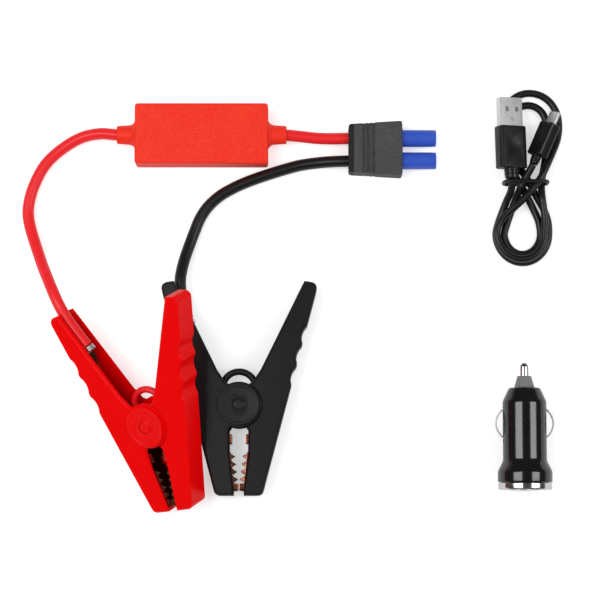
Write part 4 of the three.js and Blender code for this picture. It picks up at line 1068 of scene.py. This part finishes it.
crimp = {
    "place": (-23.6, 39.1, 0), "turn": math.atan2(4.3, 8.5), "bore": 2.0, "radius": 2.8, "waist": 2.62,
    "half": 1.2, "waistHalf": 0.3,
}


def makeClamp(name, place, plastic, capFinish, skin):
    moving, flex = name + "_right_half", clamp["flex"]
    for body, finish, ridesOn, angle in (
        (leftGrip(name + "_grip_left"), plastic, "lead_set", 32.0),
        (rightGrip(name + "_grip_right"), plastic, moving, 32.0),
        (makeJaw(name + "_jaw_left", -1), "copper", "lead_set", 25.0),
        (makeJaw(name + "_jaw_right", 1), "copper", moving, 25.0),
        (pivotCap(name + "_cap_back", 1), capFinish, "lead_set", 32.0),
        (pivotCap(name + "_cap_front", -1), capFinish, "lead_set", 32.0),
        (pivotPin(name + "_pivot_pin"), capFinish, "lead_set", 32.0),
    ):
        seat(body, place, finish, ridesOn, angle)
    for node, line, diameter, finish in (
        ("_spring", springLine(), spring["wire"], "spring_steel"),
        ("_bridge_wire", bridgeLine(), bridge["diameter"], skin),
    ):
        body = tubeOn(name + node, line, diameter, finish, place, None)
        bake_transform(body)
    bore, r, half, waist = (crimp[key] for key in ("bore", "radius", "half", "waistHalf"))
    sleeve = turned(name + "_crimp_sleeve", [
        (bore, -half, 0.2), (r, -half, 0.35), (r, -waist, 0.2), (crimp["waist"], 0.0, 0.2),
        (r, waist, 0.2), (r, half, 0.35), (bore, half, 0.2),
    ], 48)
    moved(sleeve, *crimp["place"], Matrix.Rotation(crimp["turn"], 4, "Z"))
    seat(sleeve, place, "contact_steel", "lead_set")
    print("clamp made:", name)


pivots = {j["name"]: Vector(j["pos_m"]) for j in frame["joints"] if j["name"].endswith("clamp_hinge")}
# The red clamp lies on one handle and its nose: turned in its own plane, then leaned about a level axis
redLie = {"turn": math.radians(11.55), "lean": math.radians(37.5), "axis": math.radians(38)}
leanAxis = Vector((math.sin(redLie["axis"]), -math.cos(redLie["axis"]), 0))
redTurn = Matrix.Rotation(redLie["lean"], 4, leanAxis) @ Matrix.Rotation(redLie["turn"], 4, "Z")
makeClamp("black", Matrix.Translation(pivots["black_clamp_hinge"]) @ mm,
          "black_plastic", "cap_black", "black_silicone")
makeClamp("red", Matrix.Translation(pivots["red_clamp_hinge"]) @ redTurn @ mm,
          "red_plastic", "cap_red", "red_silicone")

# Module: two covers with a seam, a gland at each end
module = {
    "left": -78.4, "length": 63.2, "middleY": 78.1, "width": 28.9, "height": 14.0, "corner": 1.6,
    "edge": 0.9, "seamEdge": 0.15, "wall": 1.8, "seam": (4.7, 5.0), "gland": (78.3, 7.0),
    "glandHole": 4.2, "leadPlay": 0.3, "ribAt": 22.0, "ribHalf": 11.4, "ribTop": 2.1,
}
moduleMiddle = module["left"] + module["length"] / 2


def moduleBlock(name, z0, z1, draw, top=0.0, foot=0.0):
    w, l = module["length"] / 2 - draw, module["width"] / 2 - draw
    line = roundedBox(-w, w, -l, l, max(module["corner"] - draw, 0.4))
    return moved(plate(name, line, rim(z0, z1, top, 6, foot)), moduleMiddle, module["middleY"], 0)


def glandHole():
    hole = cylinder("hole", module["glandHole"], -1, module["length"] + 1)
    return moved(hole, module["left"], *module["gland"], alongX)


def makeModule():
    low, high = module["seam"]
    wall, edge, seamEdge = module["wall"], module["edge"], module["seamEdge"]
    inside, middle, half = module["height"] - wall, module["middleY"], module["ribHalf"]
    top = moduleBlock("module_cover_top", high, module["height"], 0.0, edge, seamEdge)
    carve(top, ("DIFFERENCE", moduleBlock("inside", high - 1, inside, wall), glandHole()))
    bottom = moduleBlock("module_cover_bottom", 0.0, low, 0.0, seamEdge, edge)
    carve(bottom, ("DIFFERENCE", moduleBlock("inside", wall, low + 1, wall), glandHole()))
    carve(bottom, ("UNION", *[
        block("rib", x - 1, x + 1, middle - half, middle + half, wall - 0.2, module["ribTop"])
        for x in (moduleMiddle - module["ribAt"], moduleMiddle + module["ribAt"])
    ]))
    bore = leads["diameter"] / 2 + module["leadPlay"]
    glands = []
    for name, x, turn in (("module_gland_right", module["left"] + module["length"], 0.0),
                          ("module_gland_left", module["left"], math.pi)):
        gland = turned(name, [
            (bore, -3.5), (4.9, -3.5), (4.9, -2.1), (3.9, -2.1), (3.9, 0.04),
            (6.6, 0.04), (6.5, 0.2), (5.8, 0.75), (5.2, 1.3), (4.8, 2.1), (4.6, 3.2),
            (4.3, 8.8, 0.7), (bore, 8.8, 0.15),
        ], 72, 6)
        glands.append(moved(gland, x, *module["gland"], Matrix.Rotation(turn, 4, "Z") @ alongX))
    for body in (top, bottom, *glands):
        seat(body, onTable, "module_orange", "lead_set")
    print("module made")


makeModule()

# Two-pole plug: drawn with its axis along X and its lead side at x = 0
plug = {
    "left": 23.1, "axis": (71.4, 6.0), "length": 25.5, "leadWidth": 23.0, "poleWidth": 26.2,
    "thickness": 12.0, "corner": 1.4, "edge": 0.7, "slope": 2.6, "grooves": (7.2, 9.4, 11.8),
    "grooveWidth": 1.5, "grooveDepth": 0.8, "sideDepth": 0.15, "pole": 5.4, "barrel": 8.1,
    "reach": 16.2, "bore": 6.0, "leadHole": 3.05, "leadDepth": 13.2, "wireHole": 2.32,
    "cavity": (9.5, 10.3, 4.9), "housing": (9.2, 10.0, 4.6), "shankHole": 2.3,
}
# Contact of a pole: where its shank and its body start, their radii, the bore, its depth and the slit
contactSizes = {
    "foot": 13.4, "shank": 2.0, "bodyFoot": 24.3, "body": 2.5, "recess": 1.6, "bore": 1.7,
    "depth": 11.6, "slit": (10, 0.3),
}
plugPlace = onTable @ Matrix.Translation((plug["left"], *plug["axis"]))


def makePlugGrip():
    length, h, c = plug["length"], plug["thickness"] / 2, plug["corner"]
    lead, pole = plug["leadWidth"] / 2, plug["poleWidth"] / 2
    line = rounded([(0, -lead, c), (length, -pole, c), (length, pole, c), (0, lead, c)], 8)
    body = plate("plug_grip", line, rim(-h, h, plug["edge"], 6))
    slope = plate("slope", [Vector(p) for p in (
        (-1, h - plug["slope"] * 0.6), (plug["slope"], h + 0.02), (plug["slope"], h + 1), (-1, h + 1),
    )], rim(-30, 30, 0.0))
    carve(body, ("DIFFERENCE", turnedTo(slope, Matrix.Rotation(math.pi / 2, 4, "X"))))
    depth, w = plug["grooveDepth"], plug["grooveWidth"] / 2
    for x in plug["grooves"]:
        side = lead + (pole - lead) * (x - w) / length - plug["sideDepth"]
        band = block("band", x - w, x + w, -30, 30, -h - 1, h + 1)
        core = block("core", x - 2, x + 2, -side, side, depth - h, h - depth)
        carve(body, ("DIFFERENCE", carve(band, ("DIFFERENCE", core))))
    back, w, h = plug["cavity"]
    cavity = block("cavity", length - back, length + 1, -w, w, -h, h, 0.6)
    poles = (-plug["pole"], plug["pole"])
    holes = [rod("hole", plug["leadHole"], -1, plug["leadDepth"], y) for y in poles]
    wires = [rod("wire", plug["wireHole"], 12.0, length - 9.0, y, 48) for y in poles]
    carve(body, ("DIFFERENCE", cavity, *holes, *wires))
    seat(bevelled(body, 0.16, 48), plugPlace, "grey_overmould", "lead_set", 40.0)


def makePlugHousing():
    length, r, bore = plug["length"], plug["barrel"] / 2, plug["bore"] / 2
    end = length + plug["reach"]
    back, w, h = plug["housing"]
    housing = block("plug_housing_blue", length - back, length + 0.2, -w, w, -h, h, 0.8)
    barrels, holes = [], []
    for y in (-plug["pole"], plug["pole"]):
        barrel = turned("barrel", [
            (0, length - 1), (r, length - 1), (r, end - 1.6), (r - 0.12, end - 1.45),
            (r - 0.12, end - 1.15), (r, end - 1.0), (r, end, 0.7), (bore, end, 0.3),
            (bore, end - 0.6), (0, end - 0.6),
        ], 72, 5)
        barrels.append(moved(barrel, 0, y, 0, alongX))
        holes.append(rod("bore", bore - slip, length - 1.5, end + 1, y))
    for y in (-plug["pole"], plug["pole"]):
        holes.append(rod("shank", plug["shankHole"], length - 11, length, y))
    carve(housing, ("UNION", *barrels), ("DIFFERENCE", *holes))
    seat(housing, plugPlace, "blue_plastic", "lead_set")


def makePlugContacts():
    s, end = contactSizes, plug["length"] + plug["reach"]
    mouth, floor, (slit, half) = end - s["recess"], end - s["depth"], s["slit"]
    for name, y in (("plug_contact_red", plug["pole"]), ("plug_contact_black", -plug["pole"])):
        contact = turned(name, [
            (0, s["foot"]), (s["shank"], s["foot"]), (s["shank"], s["bodyFoot"]), (s["body"], s["bodyFoot"]),
            (s["body"], mouth, 0.2), (s["bore"], mouth, 0.2), (s["bore"], floor), (0, floor),
        ], 48)
        cut = block("slit", end - slit, end + 1, y - half, y + half, -4, 4)
        carve(moved(contact, 0, y, 0, alongX), ("DIFFERENCE", cut))
        seat(contact, plugPlace, "gold_plate", "lead_set")


makePlugGrip()
makePlugHousing()
makePlugContacts()
print("plug made")

# Socket adapter: drawn along Y from its end ring.
# Ring: radius and width. Contact: start, end, reach, width and sheet of the strip.
adapter = {
    "place": (105.2, -90.4, 12.75), "ring": (12.5, 3.2), "head": 12.75, "headEnd": 8.8, "flareEnd": 13.5,
    "body": 10.25, "bodyEnd": 41.3, "shoulder": 7.3, "shoulderEnd": 47.7, "noseFoot": 4.75,
    "noseTip": 3.3, "noseEnd": 53.3, "tip": 2.1, "tipEnd": 59.4, "wall": 1.6, "collar": 3.1,
    "collarDrop": 5.3, "ringBore": 9.3, "slotPlay": 0.4, "contact": (23.4, 38.6, 3.2, 3.0, 0.6),
    "spring": {"wire": 0.7, "turns": 5, "radius": 2.4, "seat": 3.95, "gap": 0.3},
}
# Port insert: lip, radius and flange; tunnel and mouth as half width, depth and half height
port = {
    "lip": 0.5, "radius": 9.0, "flange": (10.85, 3.5, 5.3),
    "tunnel": (7.6, 16.2, 3.8), "mouth": (6.4, 15.0, 2.6),
}
adapterPlace = onTable @ Matrix.Translation(adapter["place"])
tipCollar = adapter["noseEnd"] - adapter["collarDrop"]  # front of the collar that holds the tip in


def contactBulge(y):
    low, high, reach = adapter["contact"][:3]
    bore, wall = adapter["body"] - adapter["wall"], adapter["wall"]
    return bore - 0.6 + (reach + wall + 0.6) * math.sin(math.pi * (y - low) / (high - low)) ** 0.6


def makeAdapterBody():
    a = adapter
    bore, headBore = a["body"] - a["wall"], a["head"] - a["wall"]
    noseHole = a["noseFoot"] - 0.4 + 0.3
    body = turned("adapter_body", [
        (headBore, a["ring"][1] + 0.3), (a["head"], a["ring"][1] + 0.3, 0.5), (a["head"], a["headEnd"], 1.2),
        (a["body"], a["flareEnd"], 1.3), (a["body"], a["bodyEnd"], 0.9),
        (a["shoulder"], a["shoulderEnd"], 0.9), (noseHole, a["shoulderEnd"]), (noseHole, a["bodyEnd"]),
        (bore, a["bodyEnd"] - 2), (bore, a["flareEnd"]), (headBore, a["headEnd"]),
    ], 128, 8)
    low, high, _, width, _ = a["contact"]
    cuts = []
    for side in (-1, 1):
        x0, x1 = sorted((side * (bore - 2), side * (a["body"] + 1)))
        half = width / 2 + a["slotPlay"]
        cuts.append(block("slot", x0, x1, low - 1.4, high + 0.3, -half, half))
    carve(body, ("DIFFERENCE", *cuts))
    seat(body, adapterPlace, "gloss_black", "socket_adapter")

    outer, ringWidth = a["ring"]
    ring = turned("adapter_end_ring", [
        (a["ringBore"], 0.0, 0.2), (outer, 0.0, 0.7), (outer, ringWidth, 0.45), (a["ringBore"], ringWidth),
    ], 128, 6)
    seat(ring, adapterPlace, "bright_steel", "socket_adapter")


def makeAdapterNose():
    a = adapter
    noseBore, flange, foot = a["noseFoot"] - 0.4, a["bodyEnd"] - 2.4, a["shoulderEnd"] + 0.3
    end, collar, tipEnd = a["noseEnd"], tipCollar, a["tipEnd"]
    nose = turned("adapter_nose_cone", [
        (3.5, flange - 1.4), (noseBore + 2, flange - 1.4), (noseBore + 2, flange), (noseBore, flange),
        (noseBore, foot), (a["noseFoot"], foot, 0.3), (a["noseTip"], end, 0.4), (2.5, end, 0.15),
        (2.5, end - 4), (3.5, end - 5),
    ], 80, 5)
    seat(nose, adapterPlace, "nose_grey", "socket_adapter")
    tip = turned("adapter_tip", [
        (0, collar - 2), (a["collar"], collar - 2), (a["collar"], collar), (a["tip"], collar),
        (a["tip"], tipEnd - 1.3, 0.7), (1.2, tipEnd, 0.5), (0, tipEnd),
    ], 72, 8)
    seat(tip, adapterPlace, "bright_steel", "adapter_tip_pin")


def makeAdapterContacts():
    low, high, _, width, sheet = adapter["contact"]
    foot = adapter["body"] - adapter["wall"] - 0.7
    bulge = [(contactBulge(y), y) for y in (low + 0.5 + (high - low - 1) * i / 28 for i in range(29))]
    for name, side, rides in (("adapter_contact_left", -1, "left_side_contact"),
                              ("adapter_contact_right", 1, "right_side_contact")):
        line = [(side * x, y) for x, y in [(foot, low - 5), (foot, low - 1.6), *bulge]]
        strip = ribbon(name, line, sheet, -width / 2, width / 2)
        seat(tidyMesh(strip), adapterPlace, "contact_steel", rides)


def makeTipSpring():
    coil = adapter["spring"]
    radius, foot = coil["radius"], adapter["bodyEnd"] - coil["seat"]
    rise = tipCollar - 2.0 - coil["wire"] / 2 - coil["gap"] - foot
    steps = coil["turns"] * 24
    helix = []
    for i in range(steps + 1):
        angle = 2 * math.pi * coil["turns"] * i / steps
        helix.append((radius * math.cos(angle), foot + rise * i / steps, radius * math.sin(angle)))
    spiral = tubeOn("adapter_tip_spring", helix, coil["wire"], "spring_steel", adapterPlace, None, 12)
    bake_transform(spiral)


def makeAdapterPort():
    lip, radius, (flange, low, high) = port["lip"], port["radius"], port["flange"]
    insert = turned("adapter_port_insert", [
        (0, lip), (radius, lip, 0.3), (radius, low), (flange, low), (flange, high), (0, high),
    ], 96)
    (w, depth, h), (mouthW, mouthDepth, mouthH) = port["tunnel"], port["mouth"]
    tunnel = block("tunnel", -w, w, low - 0.3, depth, -h, h, 0.4)
    mouth = block("mouth", -mouthW, mouthW, -1, mouthDepth, -mouthH, mouthH)
    carve(insert, ("UNION", tunnel), ("DIFFERENCE", mouth))
    seat(bevelled(insert, 0.15, 60), adapterPlace, "grip_black", "socket_adapter")


makeAdapterBody()
makeAdapterNose()
makeAdapterContacts()
makeTipSpring()
makeAdapterPort()
print("adapter made")

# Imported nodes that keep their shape
kept = {
    "module_board": "board_green", "module_relay": "relay_black", "module_diode_pack": "relay_black",
    "module_terminal_left": "gold_plate", "module_terminal_right": "gold_plate",
    "adapter_board": "board_green", "adapter_port_tongue": "white_plastic",
    "wide_plug_tongue": "white_plastic", "small_plug_tongue": "relay_black",
}
for node, finish in kept.items():
    for slotPlace in frame["nodes"][node].material_slots:
        slotPlace.material = finishes[finish].material

# Table, light and background, in metres
studio = {
    "white": 0.9, "floorLift": 0.46, "floorSize": 6.0, "world": 0.58,
    "lamp": 5.8, "lampWidth": 1.03, "lampDepth": 0.3, "lampHeight": 1.0, "lampsAt": (-0.735, 1.08),
    "card": 0.07, "cardHeight": 1.4, "cardReach": 3.6, "cardFoot": 0.05,
}


def grey(level):
    return (level, level, level, 1.0)


def stagePiece(name, points, faces, finish, makeShader):
    body = meshObject(name, points, faces)
    material = bpy.data.materials.new(finish)
    start = emptyTree(material)
    start.node("ShaderNodeOutputMaterial", {"Surface": makeShader(start)})
    body.data.materials.append(material)
    return body


def floorShader(start):  # matt white, lifted towards pure white for the camera alone
    matt = start.node("ShaderNodeBsdfDiffuse", {"Color": grey(studio["white"])})
    glow = start.node("ShaderNodeEmission", {"Color": grey(1.0), "Strength": studio["floorLift"]})
    dark = start.node("ShaderNodeEmission", {"Strength": 0.0})
    seen = start.node("ShaderNodeLightPath").out("Is Camera Ray")
    lift = start.node("ShaderNodeMixShader", {0: seen, 1: dark, 2: glow})
    return start.node("ShaderNodeAddShader", {0: matt, 1: lift})


def cardShader(start):
    return start.node("ShaderNodeEmission", {"Color": grey(studio["card"]), "Strength": 1.0})


def makeFloor():
    r = studio["floorSize"]
    points = [(-r, -r, 0), (r, -r, 0), (r, r, 0), (-r, r, 0)]
    stagePiece("floor", points, [(0, 1, 2, 3)], "floor_white", floorShader)


def makeCard():  # a dark sky and walls round the table, seen only in gloss
    r = studio["cardReach"]
    corners = [(-r, -r), (r, -r), (r, r), (-r, r)]
    points = [(x, y, h) for h in (studio["cardFoot"], studio["cardHeight"]) for x, y in corners]
    sides = [(i, (i + 1) % 4, (i + 1) % 4 + 4, i + 4) for i in range(4)]
    card = stagePiece("card", points, [(4, 5, 6, 7), *sides], "card_dark", cardShader)
    card.visible_camera = card.visible_diffuse = card.visible_shadow = card.visible_transmission = False


def makeWorld():
    world = bpy.data.worlds.new("studio")
    bpy.context.scene.world = world
    start = emptyTree(world)
    light = start.node("ShaderNodeBackground", {"Color": grey(1.0), "Strength": studio["world"]})
    white = start.node("ShaderNodeBackground", {"Color": grey(1.0), "Strength": 1.0})
    path = start.node("ShaderNodeLightPath")
    ray = path.out("Is Camera Ray")
    for kind in ("Is Glossy Ray", "Is Transmission Ray"):
        ray = ray.maths("MAXIMUM", ray, path.out(kind))
    surface = start.node("ShaderNodeMixShader", {0: ray, 1: light, 2: white})
    start.node("ShaderNodeOutputWorld", {"Surface": surface})


def makeLamp(name, x):  # hangs over the table and shines straight down
    data = bpy.data.lights.new(name, "AREA")
    data.shape, data.energy = "RECTANGLE", studio["lamp"]
    data.size, data.size_y = studio["lampWidth"], studio["lampDepth"]
    lamp = linked(bpy.data.objects.new(name, data))
    lamp.location = (x, 0.0, studio["lampHeight"])
    lamp.rotation_euler = Vector((0.0, 0.0, -studio["lampHeight"])).to_track_quat("-Z", "Y").to_euler()


makeFloor()
makeWorld()
makeCard()
for lampName, lampX in zip(("lamp_left", "lamp_right"), studio["lampsAt"]):
    makeLamp(lampName, lampX)
bpy.context.scene.view_settings.view_transform = "Standard"

print("scene ready")
